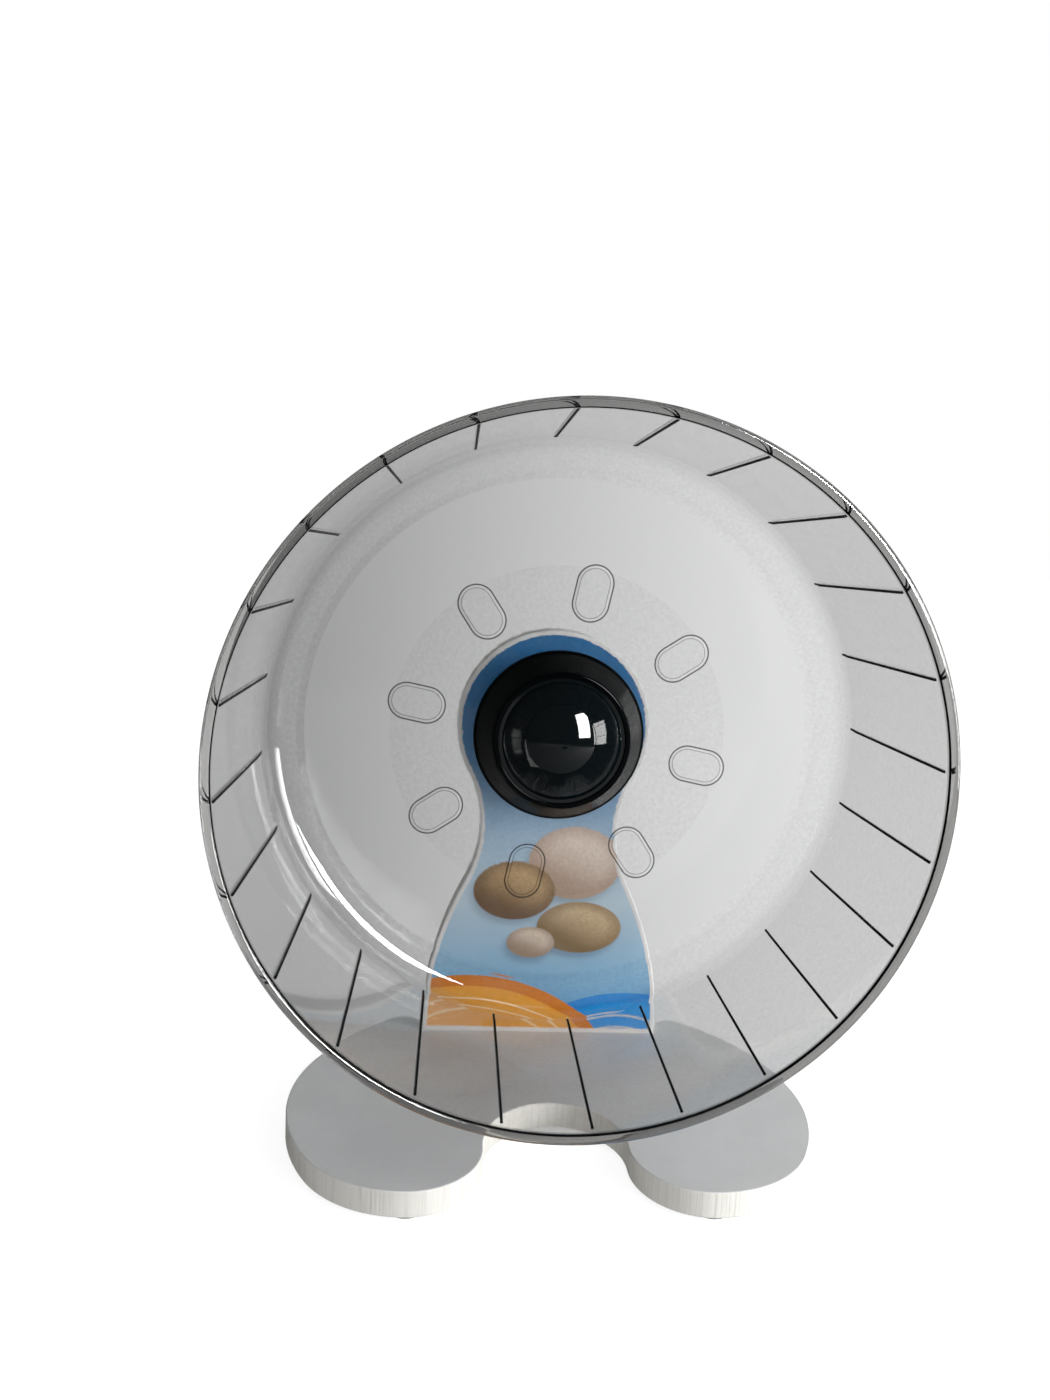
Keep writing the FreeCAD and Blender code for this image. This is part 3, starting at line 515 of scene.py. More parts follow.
def disc(x, z, radius, soft=0.4, stretch=1.0):
    """A filled round or flattened spot of the print."""
    return between(tree, distance_from(x, z, stretch), radius + soft, radius - soft)


height_in_field = add_node(tree, "ShaderNodeMapRange", {
    "Value": up, "From Min": -FOOT_DROP, "From Max": HEAD_RADIUS})
sky = add_node(tree, "ShaderNodeValToRGB", {"Fac": height_in_field.outputs[0]})
ramp = sky.color_ramp
while len(ramp.elements) < len(SKY):
    ramp.elements.new(0.5)
for element, (position, tint) in zip(ramp.elements, SKY):
    element.position = position
    element.color = (*tint, 1)
speckle = add_node(tree, "ShaderNodeTexNoise", {
    "Vector": centred, "Scale": 0.9, "Detail": 5.0, "Roughness": 0.7})
soft_light = add_node(tree, "ShaderNodeTexNoise", {"Vector": centred, "Scale": 0.06, "Detail": 2.0})
flecks = between(tree, speckle.outputs["Fac"], 0.35, 0.65, 0.7, 1.0)
colour = sky.outputs["Color"]
for x, z, radius, stretch, dark, pale in PEBBLES:
    shadow = disc(x - SHADOW_ASIDE, z - SHADOW_BELOW, radius, SHADOW_SOFT, stretch)
    shadow = calculate(tree, "MULTIPLY", shadow, SHADOW_SHARE)
    colour = blend_colours(tree, shadow, colour, PEBBLE_SHADOW)
    lit = calculate(tree, "MULTIPLY_ADD", calculate(tree, "SUBTRACT", across, x), 0.4,
                    calculate(tree, "SUBTRACT", up, z))
    bright = between(tree, lit, -0.95 * radius / stretch, 0.9 * radius / stretch)
    rounded = between(tree, distance_from(x, z, stretch), radius, 0.55 * radius, 0.35, 1.0)
    tone = calculate(tree, "MULTIPLY", calculate(tree, "MULTIPLY", bright, rounded), flecks)
    pebble = blend_colours(tree, tone, dark, pale)
    colour = blend_colours(tree, disc(x, z, radius, 0.5, stretch), colour, pebble)
for x, z, radius, rim, fill in HILLS:
    hill = blend_colours(tree, disc(x, z, radius - HILL_RIM), rim, fill)
    for inwards in HILL_LINES:
        ring = radius - inwards
        line = calculate(tree, "SUBTRACT", disc(x, z, ring), disc(x, z, ring - HILL_LINE_WIDTH))
        line = calculate(tree, "MULTIPLY", line, HILL_LINE_SHARE)
        hill = blend_colours(tree, line, hill, HILL_LINE)
    colour = blend_colours(tree, disc(x, z, radius), colour, hill)
glow = between(tree, soft_light.outputs["Fac"], 0.3, 0.7, 0.0, PRINT_GLOW_SHARE)
set_inputs(tree, shader, {
    "Base Color": blend_colours(tree, glow, colour, PRINT_GLOW),
    "Roughness": calculate(tree, "MULTIPLY_ADD", speckle.outputs["Fac"], 0.08, 0.24),
    "Specular IOR Level": 0.2})
label_field.data.materials.append(material)
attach(label_field, "stand")


# Hub: three black mouldings. A housing with a bevelled flange and cone has a polished domed cap
# pressed into its ring, and a plate behind the wall is screwed to it through the drum. The cap
# mirrors the room; the housing and the plate are duller.

CAP_BLACK = (0.0014, 0.0034, 0.0042)
HOUSING_BLACK = (0.0007, 0.0014, 0.0017)
PLATE_BLACK = (0.0026, 0.0040, 0.0044)
DUST_GREY = (0.10, 0.10, 0.095)
DUST_AMOUNT = 0.3
SMEAR_GRAIN = 420.0

dust_specks, dust_in, dust_out = new_group(
    "dust_specks", {"Place": Vector, "Amount": float}, {"Mask": float})
motes = add_node(dust_specks, "ShaderNodeTexVoronoi", {
    "Vector": dust_in.outputs["Place"], "Scale": 520.0}, feature="F1")
patchy = add_node(dust_specks, "ShaderNodeTexNoise", {
    "Vector": dust_in.outputs["Place"], "Scale": 60.0, "Detail": 2.0})
near_mote = between(dust_specks, motes.outputs["Distance"], 0.16, 0.05)
where = between(dust_specks, patchy.outputs["Fac"], 0.52, 0.7)
dusted = calculate(dust_specks, "MULTIPLY", near_mote, where)
set_inputs(dust_specks, dust_out, {
    "Mask": calculate(dust_specks, "MULTIPLY", dusted, dust_in.outputs["Amount"])})


def black_moulding(name, black, gloss, polish):
    """Black plastic with a little dust and wiping smears; gloss is how strongly it mirrors."""
    material, tree, shader, place = new_material(name)
    dust = add_node(tree, "ShaderNodeGroup", {
        "Place": place.outputs["Object"], "Amount": DUST_AMOUNT}, node_tree=dust_specks)
    grain = add_grain(tree, place, SMEAR_GRAIN)
    smear = between(tree, grain.outputs["Shade"], 0.42, 0.62)
    rough = calculate(tree, "MULTIPLY_ADD", smear, 0.04, polish)
    set_inputs(tree, shader, {
        "Base Color": blend_colours(tree, dust.outputs["Mask"], black, DUST_GREY),
        "Roughness": calculate(tree, "MULTIPLY_ADD", dust.outputs["Mask"], 0.5, rough),
        "Specular IOR Level": gloss})
    return material


dress("hub_cap", black_moulding("polished_black_cap", CAP_BLACK, gloss=0.35, polish=0.02))
dress("hub_housing", black_moulding(
    "satin_black_housing", HOUSING_BLACK, gloss=0.05, polish=0.05))
dress("hub_rear_plate", black_moulding(
    "satin_black_plate", PLATE_BLACK, gloss=0.2, polish=0.12))


# Drum: one clear moulding, open at the front, with a rolled lip, a leaning track with 24 ribs, a
# round corner and a back wall with obround recesses. A disc round the hub is rippled and the rest
# of the wall frosted. The hub clamps the wall round its bore.

QUARTERS = 4
FRONT_Y = -82.65
RIM = 150.0
LIP_DEPTH = 5.0
LIP_ROUND = 2.0
LIP_INNER = 145.6
LIP_BACK = 3.7
LIP_STEPS = 8
LIP_DARK_INSIDE = 3
LIP_DARK_OUTSIDE = 2
TRACK = 146.9
TRACK_END = 145.1
WALL = 2.2
DEPTH = 122.0
WALL_FRONT = 122.6
WALL_REAR = 124.5
CORNER = 14.0
CORNER_STEPS = 16
DISH = 127.1
DISH_STEP = 4.0
BORE = 15.2
BORE_SKIP = 8
CLEAR_RADIUS = 85.0
RIB_STEP = math.radians(15)
RIBS_IN_QUARTER = 6
FIRST_RIB = -RIB_STEP
RIB_HALF = 0.6
RIB_HEIGHT = 1.2
RIB_TIP = 0.1
RIB_FRONT = 7.98
RIB_START = 8.0
RIB_FADES = 99.0
RIB_END = 108.0
RIB_SIDES = (-0.65, -0.6, -0.55, -0.46, -0.33, -0.17, 0.0, 0.17, 0.33, 0.46, 0.55, 0.6, 0.65)
RIB_STATIONS = (RIB_END, 107.0, 105.5, 104.0, 102.5, 101.0, RIB_FADES, 85.0, 70.0, 55.0, 40.0,
                25.0, 8.6, RIB_START, RIB_FRONT, 6.5, LIP_DEPTH)
HALF_GAP_STEPS = 6
RECESS_CIRCLE = 73.0
RECESS_LENGTH = 28.5
RECESS_WIDTH = 18.3
RECESS_EDGE = 1.7
RECESS_DEPTH = 0.2
RECESS_TURNS = (0, 3 * RIB_STEP)
SCREW_HOLE = 2.2
ROUND_STEPS = 24
SAME_SPOT = 0.000001
DRUM_EDGE = math.radians(32)
DRUM_GREY = (0.79, 0.795, 0.79)
WALL_GREY = (0.95, 0.955, 0.955)
LIP_SHADE_GREY = (0.36, 0.355, 0.345)
RIPPLE_SHADE_GREY = (0.40, 0.40, 0.40)
RECESS_SHADE_LINE = (0.00002, 0.00002, 0.00003)
MOUTH_LINE_HALF = 0.38
MOUTH_LINE_SHARE = 0.96
FLOOR_LINE_HALF = 0.24
FLOOR_LINE_SHARE = 0.7
RIPPLE_SHADE_SHARE = 0.14
DRUM_POLISH = 0.012
FROST_ROUGHNESS = 0.06
RIPPLE_HEIGHT = 0.00007
LINE_GRAIN = 900.0
SHADE_LINE_DARK = (0.0005, 0.0005, 0.0008)
SHADE_LINE_PALER = (0.004, 0.004, 0.005)
LET_THROUGH = (0.93, 0.935, 0.935)
LET_OUT = (0.60, 0.60, 0.60)
WALLS_FOLLOWED = 4.5
BEFORE_FIRST = 0.5


def corner_arc(front_radius, back_radius, back_depth, radius):
    """The round corner between the leaning track and a wall, from the wall to the track."""
    lean = (front_radius - back_radius) / (back_depth - LIP_DEPTH)
    tilt = math.atan(lean)
    middle_depth = back_depth - radius
    at_middle = front_radius - lean * (middle_depth - LIP_DEPTH)
    middle = (at_middle - radius / math.cos(tilt), middle_depth)
    return arc_points(middle, radius, math.pi / 2, tilt, CORNER_STEPS)


def track_radius(depth):
    """The radius of the leaning track."""
    return TRACK - (TRACK - TRACK_END) * (depth - LIP_DEPTH) / (DEPTH - LIP_DEPTH)


def rib_top(depth):
    """Height of the ribs' tops over the track; the rear end fades out."""
    if depth < RIB_START or depth > RIB_END:
        return 0.0
    faded = max(0.0, (depth - RIB_FADES) / (RIB_END - RIB_FADES))
    return RIB_HEIGHT + (RIB_TIP - RIB_HEIGHT) * faded


# A quarter is drawn in millimetres about the axle. Each column is an angle and, on a rib, the way
# from its middle; each row of the path is radius, depth from the front and whether ribs cross it.
columns = []
for rib in range(RIBS_IN_QUARTER):
    middle = FIRST_RIB + rib * RIB_STEP
    gap = RIB_STEP / 2 - RIB_SIDES[-1] / TRACK
    plain = [-RIB_STEP / 2 + gap * step / HALF_GAP_STEPS for step in range(HALF_GAP_STEPS)]
    columns += [(middle + angle, None) for angle in plain]
    columns += [(middle + side / TRACK, side) for side in RIB_SIDES]
    columns += [(middle - angle, None) for angle in reversed(plain[1:])]
columns.append((FIRST_RIB + (RIBS_IN_QUARTER - 0.5) * RIB_STEP, None))

inner_corner = corner_arc(TRACK, TRACK_END, DEPTH, CORNER)
outer_corner = corner_arc(TRACK + WALL, TRACK_END + WALL, WALL_REAR, CORNER + WALL)
lip_inside = arc_points((LIP_INNER + LIP_ROUND, LIP_ROUND), LIP_ROUND,
                        math.pi, 1.5 * math.pi, LIP_STEPS)
lip_outside = arc_points((RIM - LIP_ROUND, LIP_ROUND), LIP_ROUND,
                         1.5 * math.pi, 2 * math.pi, LIP_STEPS)
path = [(DISH, WALL_FRONT, False), (DISH + DISH_STEP, DEPTH, False)]
path += [(*point, False) for point in inner_corner]
path += [(track_radius(depth), depth, True) for depth in RIB_STATIONS]
path += [(LIP_INNER, LIP_BACK, False)]
lip_start = len(path)
path += [(*point, False) for point in lip_inside + lip_outside]
lip_end = len(path) - 1
path += [(RIM, LIP_DEPTH, False), (TRACK + WALL, LIP_DEPTH, False)]
path += [(*point, False) for point in reversed(outer_corner)]
dark_rows = {*range(lip_start, lip_start + LIP_DARK_INSIDE),
             *range(lip_end - LIP_DARK_OUTSIDE, lip_end)}


def looks_dark(row, column):
    """The ribs and narrow bands of the lip bend the light away; they are given black, as painted
    shade.
    """
    if row in dark_rows:
        return True
    sides = [columns[column][1], columns[column + 1][1]]
    depths = [path[row][1], path[row + 1][1]]
    if None in sides or min(depths) < RIB_FRONT or max(depths) > RIB_END:
        return False
    return max(abs(side) for side in sides) <= RIB_HALF


quarter = bmesh.new()
dark_edge = quarter.faces.layers.int.new("dark_edge")


def drum_corner(across, up, depth):
    """A corner of the drum's mesh."""
    return quarter.verts.new((across * MM, (depth + FRONT_Y) * MM, up * MM))


rows = []
for radius, depth, ribbed in path:
    row = []
    for angle, side in columns:
        lift = 0.0
        if ribbed and side is not None and abs(side) <= RIB_HALF:
            lift = max(0.0, rib_top(depth) - RIB_HALF + math.sqrt(RIB_HALF ** 2 - side ** 2))
        row.append(drum_corner((radius - lift) * math.cos(angle), (radius - lift) * math.sin(angle),
                               depth))
    rows.append(row)
for row, (inner, outer) in enumerate(zip(rows, rows[1:])):
    for index in range(len(columns) - 1):
        face = quarter.faces.new((inner[index], inner[index + 1], outer[index + 1], outer[index]))
        face[dark_edge] = looks_dark(row, index)


def obround_points(turn, length, width):
    """A slot with round ends, lying along a radius."""
    half = (length - width) / 2
    points = []
    ends = ((RECESS_CIRCLE + half, -math.pi / 2), (RECESS_CIRCLE - half, math.pi / 2))
    for middle, start in ends:
        points += arc_points((middle, 0), width / 2, start, start + math.pi, ROUND_STEPS)
    return [(x * math.cos(turn) - y * math.sin(turn), x * math.sin(turn) + y * math.cos(turn))
            for x, y in points]


wall_angles = [angle for angle, side in columns]
bore_angles = wall_angles[::BORE_SKIP] + wall_angles[-1:]
bore_rim = [(BORE * math.cos(a), BORE * math.sin(a)) for a in bore_angles]
screw_rim = arc_points((SCREW_CIRCLE, 0), SCREW_HOLE, 0, 2 * math.pi, ROUND_STEPS)[:-1]


def lay_wall(rim_radius, depth, with_recesses):
    """A face of the back wall, from the bore to a radius, with a hole for a screw."""
    edge = [(rim_radius * math.cos(a), rim_radius * math.sin(a)) for a in wall_angles]
    loops = [(edge + bore_rim[::-1], depth), (screw_rim, depth)]
    for turn in RECESS_TURNS if with_recesses else ():
        for inwards, level in ((0.0, depth), (2 * RECESS_EDGE, depth + RECESS_DEPTH)):
            slot = obround_points(turn, RECESS_LENGTH - inwards, RECESS_WIDTH - inwards)
            loops.append((slot, level))
    spots, sides, depths = [], [], []
    for points, level in loops:
        base = len(spots)
        spots += [Vector(point) for point in points]
        depths += [level] * len(points)
        sides += [(base + i, base + (i + 1) % len(points)) for i in range(len(points))]
    flat, _, triangles, origin, _, _ = delaunay_2d_cdt(spots, sides, [], 1, 0.00001)
    corners = [drum_corner(point.x, point.y, depths[source[0]])
               for point, source in zip(flat, origin)]
    for triangle in triangles:
        middle = sum((flat[i] for i in triangle), Vector((0, 0))) / 3
        if (middle - Vector((SCREW_CIRCLE, 0))).length > SCREW_HOLE:
            quarter.faces.new([corners[i] for i in triangle])


lay_wall(DISH, WALL_FRONT, True)
lay_wall(path[-1][0], WALL_REAR, False)
for rim in (screw_rim + screw_rim[:1], bore_rim):
    pairs = [[drum_corner(x, z, depth) for depth in (WALL_FRONT, WALL_REAR)] for x, z in rim]
    for (front, rear), (next_front, next_rear) in zip(pairs, pairs[1:]):
        quarter.faces.new((front, next_front, next_rear, rear))
bmesh.ops.remove_doubles(quarter, verts=quarter.verts[:], dist=SAME_SPOT)
clear_drum = place_shape("clear_drum", quarter)

clear_moulding, tree, shader, place = new_material("clear_moulding")
centred, x, depth, z = from_axle(tree, place, FRONT_Y)
radius = length_of(tree, x, z)
angle = calculate(tree, "ADD", calculate(tree, "ARCTAN2", z, x), REST_TURN)


def all_of(*masks):
    """Where all the masks are on, or as much as a share of them."""
    result = masks[0]
    for mask in masks[1:]:
        result = calculate(tree, "MULTIPLY", result, mask)
    return result


def line_mask(distance, half_width, soft=0.08):
    """A thin line where a distance is nought."""
    aside = calculate(tree, "ABSOLUTE", distance)
    return between(tree, aside, half_width + soft, half_width - soft)


turned = calculate(tree, "WRAP", angle, 1.5 * RIB_STEP, -1.5 * RIB_STEP)
along = calculate(tree, "SUBTRACT", calculate(
    tree, "MULTIPLY", radius, calculate(tree, "COSINE", turned)), RECESS_CIRCLE)
aside = calculate(tree, "MULTIPLY", radius, calculate(tree, "SINE", turned))
past_straight = calculate(tree, "SUBTRACT", calculate(
    tree, "ABSOLUTE", along), (RECESS_LENGTH - RECESS_WIDTH) / 2)
beyond = calculate(tree, "MAXIMUM", past_straight, 0.0)
from_recess = calculate(tree, "SUBTRACT", length_of(tree, beyond, aside), RECESS_WIDTH / 2)
on_front = between(tree, depth, WALL_REAR - 0.2, WALL_REAR - 0.4)
from_floor = calculate(tree, "ADD", from_recess, RECESS_EDGE)
# Painted shade: near-black lines round the mouth and the floor of each recess stand in for the dark
# its sloped edges bend into view.
mouth_shade = all_of(line_mask(from_recess, MOUTH_LINE_HALF), on_front, MOUTH_LINE_SHARE)
floor_shade = all_of(line_mask(from_floor, FLOOR_LINE_HALF), on_front, FLOOR_LINE_SHARE)
on_wall = between(tree, depth, DEPTH - 0.4, DEPTH)
frost = all_of(between(tree, radius, CLEAR_RADIUS - 0.3, CLEAR_RADIUS + 0.3),
               between(tree, radius, DISH + 0.2, DISH - 0.2), on_wall)
in_clear_disc = all_of(between(tree, radius, CLEAR_RADIUS + 2, CLEAR_RADIUS - 4), on_wall)
# Painted shade: the lip's front is tinted a dark grey for the shade its rounded bead bends into
# view.
in_lip = between(tree, depth, LIP_DEPTH + 0.3, LIP_DEPTH + 0.1)
mottle = add_node(tree, "ShaderNodeTexNoise", {
    "Vector": centred, "Scale": 0.55, "Detail": 3.0, "Roughness": 0.6})
# Painted shade: grey blotches over the drum, left out on the frosted ring, stand in for the light
# and shade that the ripples make.
ripple_shade = all_of(between(tree, mottle.outputs["Fac"], 0.35, 0.65, 0.0, RIPPLE_SHADE_SHARE),
                 calculate(tree, "SUBTRACT", 1.0, frost))
# The drum is tinted a light grey, greyer on the track than on the wall; that difference is painted
# shade.
near_wall = between(tree, depth, DEPTH - 10, DEPTH - 0.5)
colour = blend_colours(tree, near_wall, DRUM_GREY, WALL_GREY)
for mask, tint in ((ripple_shade, RIPPLE_SHADE_GREY), (in_lip, LIP_SHADE_GREY), (floor_shade, RECESS_SHADE_LINE),
                   (mouth_shade, RECESS_SHADE_LINE)):
    colour = blend_colours(tree, mask, colour, tint)
set_inputs(tree, shader, {
    "Base Color": colour,
    "Roughness": calculate(tree, "MULTIPLY_ADD", frost, FROST_ROUGHNESS, DRUM_POLISH),
    "Transmission Weight": 1.0,
    "IOR": 1.5,
    "Specular Tint": (0.8, 0.8, 0.8, 1)})
raise_surface(tree, shader, mottle.outputs["Fac"], distance=RIPPLE_HEIGHT,
              strength=calculate(tree, "MULTIPLY_ADD", in_clear_disc, 0.85, 0.15))
# For shadows, for light that a surface has scattered and behind many walls, it is a plain filter.
rays = tree.nodes.new("ShaderNodeLightPath")
let_out = calculate(tree, "GREATER_THAN", rays.outputs["Ray Depth"], WALLS_FOLLOWED)
scattered = calculate(tree, "GREATER_THAN", rays.outputs["Diffuse Depth"], BEFORE_FIRST)
plainly = calculate(tree, "MAXIMUM", rays.outputs["Is Shadow Ray"], let_out)
plain_filter = add_node(tree, "ShaderNodeBsdfTransparent", {
    "Color": blend_colours(tree, let_out, LET_THROUGH, LET_OUT)})
mix = add_node(tree, "ShaderNodeMixShader", {
    0: calculate(tree, "MAXIMUM", plainly, scattered),
    1: shader.outputs[0], 2: plain_filter.outputs[0]})
tree.links.new(mix.outputs[0], tree.nodes["Material Output"].inputs["Surface"])

# Painted shade: this near-black material on the ribs and the narrow bands of the lip stands in for
# the dark that the bent light leaves there, varied a little by a fine grain.
painted_shade_material, tree, shader, place = new_material("dark_edge_lines")
grain = add_grain(tree, place, LINE_GRAIN)
set_inputs(tree, shader, {
    "Base Color": blend_colours(tree, grain.outputs["Shade"], SHADE_LINE_DARK, SHADE_LINE_PALER),
    "Roughness": calculate(tree, "MULTIPLY_ADD", grain.outputs["Shade"], 0.2, 0.3),
    "Specular IOR Level": 0.02})

tree, drum_in, drum_out, drum_keys = new_tree("drum_round", {
    "Quarters": "NodeSocketInt", "Axle": "NodeSocketVector", "Rest Turn": "NodeSocketFloat",
    "Clear": "NodeSocketMaterial", "Dark": "NodeSocketMaterial"})
places = add_node(tree, "GeometryNodePoints", {
    "Count": drum_in.outputs["Quarters"], "Position": drum_in.outputs["Axle"]})
number = tree.nodes.new("GeometryNodeInputIndex")
one_turn = calculate(tree, "DIVIDE", 2 * math.pi, drum_in.outputs["Quarters"])
turn = add_node(tree, "ShaderNodeCombineXYZ", {"Y": calculate(
    tree, "MULTIPLY_ADD", number.outputs[0], one_turn, drum_in.outputs["Rest Turn"])})
copies = add_node(tree, "GeometryNodeInstanceOnPoints", {
    "Points": places.outputs[0], "Instance": drum_in.outputs["Geometry"],
    "Rotation": turn.outputs[0]})
whole = add_node(tree, "GeometryNodeRealizeInstances", {0: copies.outputs[0]})
joined = add_node(tree, "GeometryNodeMergeByDistance", {
    "Geometry": whole.outputs[0], "Distance": 2 * SAME_SPOT})
dressed = add_node(tree, "GeometryNodeSetMaterial", {
    "Geometry": joined.outputs[0], "Material": drum_in.outputs["Clear"]})
dark_faces = add_node(tree, "GeometryNodeInputNamedAttribute", {"Name": "dark_edge"},
                      data_type="INT")
lined = add_node(tree, "GeometryNodeSetMaterial", {
    "Geometry": dressed.outputs[0], "Selection": dark_faces.outputs[0],
    "Material": drum_in.outputs["Dark"]})
tree.links.new(lined.outputs[0], drum_out.inputs[0])
mesh = grow(clear_drum, tree, drum_keys, {
    "Quarters": QUARTERS, "Axle": AXLE, "Rest Turn": REST_TURN, "Clear": clear_moulding,
    "Dark": painted_shade_material})
shape = bmesh.new()
shape.from_mesh(mesh)
face_outwards(shape)
shape.to_mesh(mesh)
shape.free()
mesh.shade_smooth()
mesh.set_sharp_from_angle(angle=DRUM_EDGE)
for face in mesh.polygons:
    face.use_smooth = math.hypot(face.center.x, face.center.z - AXLE.z) > DISH * MM
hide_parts("drum")
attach(clear_drum, "wheel")


# Floor and surroundings: a plain pale floor that keeps the soft shadow of the object, and white
# surroundings. Through the clear drum the backdrop shows greyer on the left, as in a room with its
# window on the right.

FLOOR_REACH = 30.0
FLOOR_DROP = 0.0002
FLOOR_GREY = (0.4, 0.4, 0.4, 1)
FLOOR_GLOW_SPAN = (0.4, 2.0)
FLOOR_GLOW_NEAR = 0.86
FLOOR_GLOW_FAR = 0.97
WHITE = (1, 1, 1, 1)
BACKDROP_SPAN = (-0.3, 0.43)
BACKDROP_LEFT = 0.305
BACKDROP_RIGHT = 0.835
ASIDE_SPAN = (-0.33, -0.60)
BACKDROP_ASIDE = 0.5
BEHIND_SPAN = (0.1, -0.2)
BACKDROP_BEHIND = 0.85
MIRRORED_SPAN = (0.5, 0.0)
MIRRORED_DIMMER = 0.88
ROOM_LEFT = 0.2
ROOM_RIGHT = 0.5
ROOM_ABOVE = 0.35

mesh = bpy.data.meshes.new("floor")
mesh.from_pydata([(x * FLOOR_REACH, y * FLOOR_REACH, 0)
                  for x, y in ((-1, -1), (1, -1), (1, 1), (-1, 1))], [], [(0, 1, 2, 3)])
floor = place_mesh("floor", mesh)
floor.location.z = -FLOOR_DROP
material, tree, shader, place = new_material("pale_floor")
set_inputs(tree, shader, {"Base Color": FLOOR_GREY, "Roughness": 0.9})
from_middle = add_node(tree, "ShaderNodeVectorMath", {0: place.outputs["Object"]},
                       operation="LENGTH")
glow = add_node(tree, "ShaderNodeEmission", {
    "Color": WHITE, "Strength": between(tree, from_middle.outputs["Value"], *FLOOR_GLOW_SPAN,
                                        FLOOR_GLOW_NEAR, FLOOR_GLOW_FAR)})
seen = tree.nodes.new("ShaderNodeLightPath")
on_floor = add_node(tree, "ShaderNodeSeparateXYZ", {0: place.outputs["Object"]})
mirrored = calculate(tree, "MULTIPLY", seen.outputs["Is Glossy Ray"],
                     between(tree, on_floor.outputs["Y"], 0.0, 0.5))
white_floor = add_node(tree, "ShaderNodeAddShader", {0: shader.outputs[0], 1: glow.outputs[0]})
laid = add_node(tree, "ShaderNodeMixShader", {
    0: calculate(tree, "MAXIMUM", seen.outputs["Is Camera Ray"], mirrored),
    1: shader.outputs[0], 2: white_floor.outputs[0]})
unscattered = calculate(tree, "LESS_THAN", seen.outputs["Diffuse Depth"], BEFORE_FIRST)
through_drum = add_node(tree, "ShaderNodeMixShader", {
    0: calculate(tree, "MULTIPLY", seen.outputs["Is Transmission Ray"], unscattered),
    1: laid.outputs[0], 2: tree.nodes.new("ShaderNodeBsdfTransparent").outputs[0]})
tree.links.new(through_drum.outputs[0], tree.nodes["Material Output"].inputs["Surface"])
mesh.materials.append(material)

world = bpy.data.worlds.new("white_surroundings")
bpy.context.scene.world = world
world.use_nodes = True
tree = world.node_tree
seen = tree.nodes.new("ShaderNodeLightPath")
looking = add_node(tree, "ShaderNodeSeparateXYZ", {
    0: tree.nodes.new("ShaderNodeTexCoord").outputs["Generated"]})
rightwards, backwards, upwards = looking.outputs
in_piece = calculate(tree, "MAXIMUM", seen.outputs["Is Transmission Ray"],
                     seen.outputs["Is Glossy Ray"])
unscattered = calculate(tree, "LESS_THAN", seen.outputs["Diffuse Depth"], BEFORE_FIRST)
on_sight = calculate(tree, "MULTIPLY", in_piece, unscattered)
mirrored = calculate(tree, "GREATER_THAN", seen.outputs["Glossy Depth"], BEFORE_FIRST)
dimmed = calculate(tree, "MULTIPLY", mirrored,
                   between(tree, backwards, *MIRRORED_SPAN, 0.0, MIRRORED_DIMMER))
from_aside = calculate(tree, "MULTIPLY",
                       between(tree, rightwards, *ASIDE_SPAN, 0.0, BACKDROP_ASIDE),
                       calculate(tree, "SUBTRACT", 1.0, mirrored))
graded = calculate(tree, "ADD", between(
    tree, rightwards, *BACKDROP_SPAN, BACKDROP_LEFT, BACKDROP_RIGHT), from_aside)
all_round = add_node(tree, "ShaderNodeMix", {
    0: between(tree, backwards, *BEHIND_SPAN), 2: graded, 3: BACKDROP_BEHIND}, data_type="FLOAT")
backdrop = calculate(tree, "MULTIPLY", all_round.outputs[0],
                     calculate(tree, "SUBTRACT", 1.0, dimmed))
room = calculate(tree, "MULTIPLY", between(tree, rightwards, -0.7, 0.7, ROOM_LEFT, ROOM_RIGHT),
                 between(tree, upwards, 0.2, 0.9, 1.0, ROOM_ABOVE))
strength = add_node(tree, "ShaderNodeMix", {
    0: calculate(tree, "MAXIMUM", seen.outputs["Is Camera Ray"], on_sight), 2: room,
    3: calculate(tree, "MAXIMUM", seen.outputs["Is Camera Ray"], backdrop)}, data_type="FLOAT")
set_inputs(tree, tree.nodes["Background"], {"Color": WHITE, "Strength": strength.outputs[0]})


# Lamps: a soft window on the right, broad fills in front and behind, and a panel that shows only
# in reflections, such as the highlight in the drum's round corner and on the cap.

STAND_MIDDLE = (0, 0, 0.10)
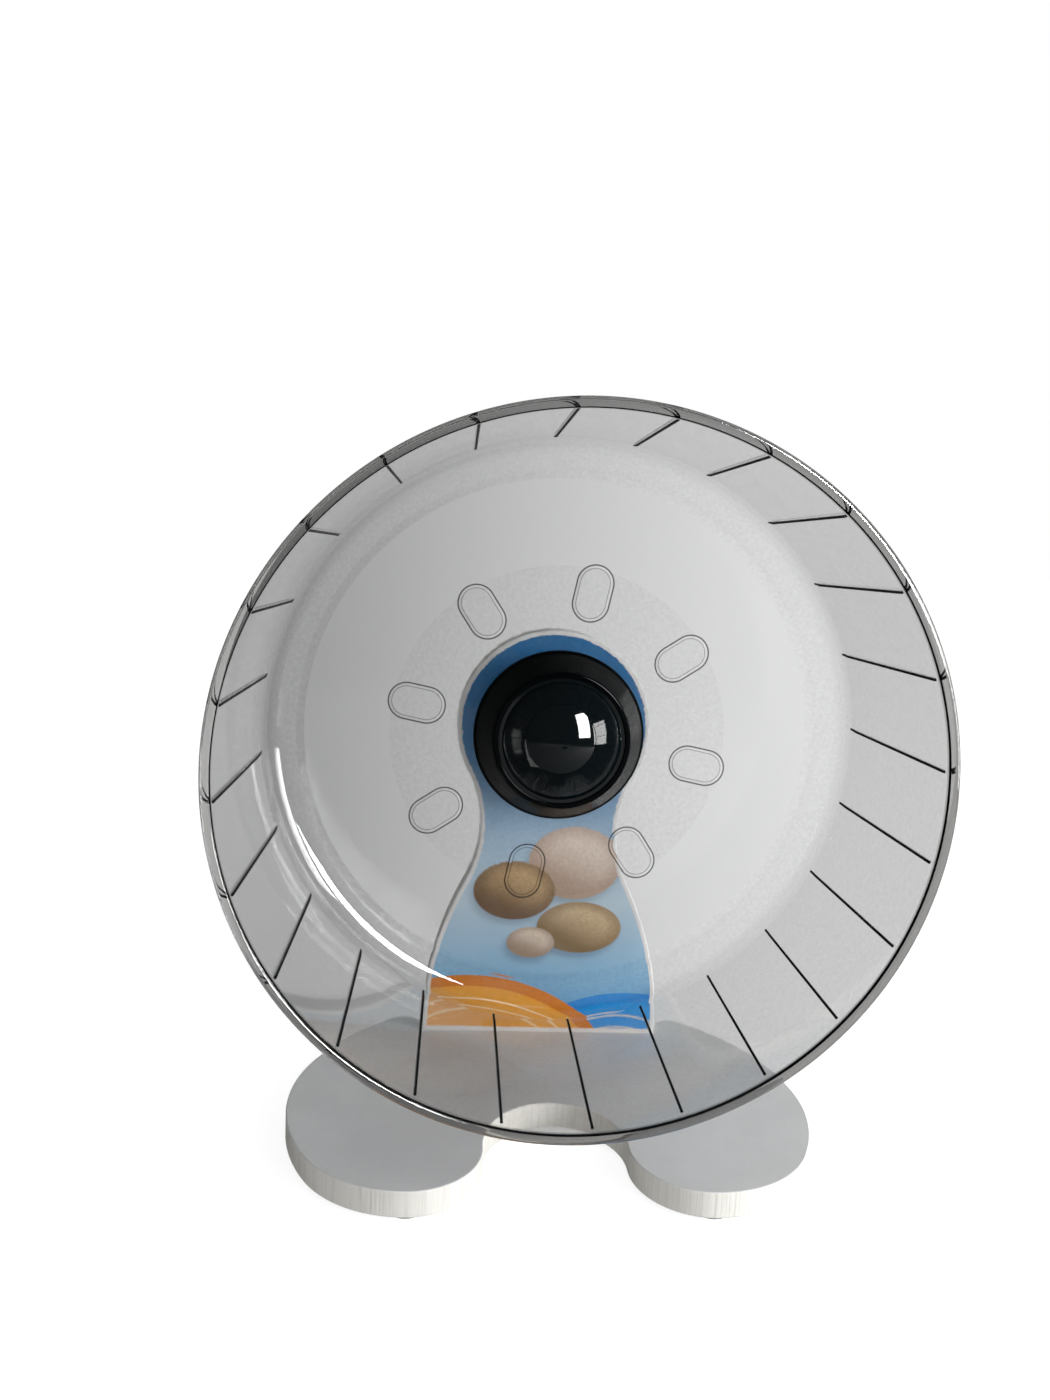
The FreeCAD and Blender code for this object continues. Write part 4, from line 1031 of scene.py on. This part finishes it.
# Name, place, what it is aimed at, width, height, power and the rays that miss it.
LAMPS = (
    ("window", (0.80, -0.38, 0.28), STAND_MIDDLE, 0.35, 0.45, 8.8, ()),
    ("front_fill", (-0.2, -1.3, 0.45), STAND_MIDDLE, 1.0, 0.8, 5.5, ("glossy", "transmission")),
    ("back_fill", (0.3, 1.4, 0.40), STAND_MIDDLE, 1.0, 0.8, 5.5, ("glossy", "transmission")),
    ("glint_panel", (0.629, -0.829, 0.57), (-0.1, 0.04, 0.2), 0.36, 0.70, 50.0,
     ("diffuse", "transmission")))
for name, stands_at, target, width, height, power, missed_by in LAMPS:
    lamp = bpy.data.lights.new(name, "AREA")
    lamp.shape = "RECTANGLE"
    lamp.size = width
    lamp.size_y = height
    lamp.energy = power
    holder = bpy.data.objects.new(name, lamp)
    holder.location = stands_at
    holder.rotation_euler = (Vector(target) - Vector(stands_at)).to_track_quat("-Z", "Y").to_euler()
    for kind in missed_by:
        setattr(holder, "visible_" + kind, False)
    bpy.context.scene.collection.objects.link(holder)


# Camera: a little below the top of the wheel and left of the middle, close in front, looking
# slightly down at it.

CAMERA_PLACE = Vector((-0.05528, -0.48072, 0.28086))
YAW = math.radians(4.126)
PITCH = math.radians(-8.311)
ROLL = math.radians(2.7)
LENS = 27.03
SENSOR_WIDTH = 36.0
camera = bpy.data.cameras.new("camera")
camera.lens = LENS
camera.sensor_width = SENSOR_WIDTH
camera.clip_start = 0.01
holder = bpy.data.objects.new("camera", camera)
forward = Vector((math.sin(YAW) * math.cos(PITCH), math.cos(YAW) * math.cos(PITCH),
                  math.sin(PITCH)))
right = Vector((math.cos(YAW), -math.sin(YAW), 0))
upward = right.cross(forward)
turned_right = math.cos(ROLL) * right + math.sin(ROLL) * upward
turned_up = -math.sin(ROLL) * right + math.cos(ROLL) * upward
axes = Matrix((turned_right, turned_up, -forward)).transposed()
holder.matrix_world = Matrix.Translation(CAMERA_PLACE) @ axes.to_4x4()
bpy.context.scene.collection.objects.link(holder)
bpy.context.scene.camera = holder
bpy.context.scene.view_settings.view_transform = "Standard"
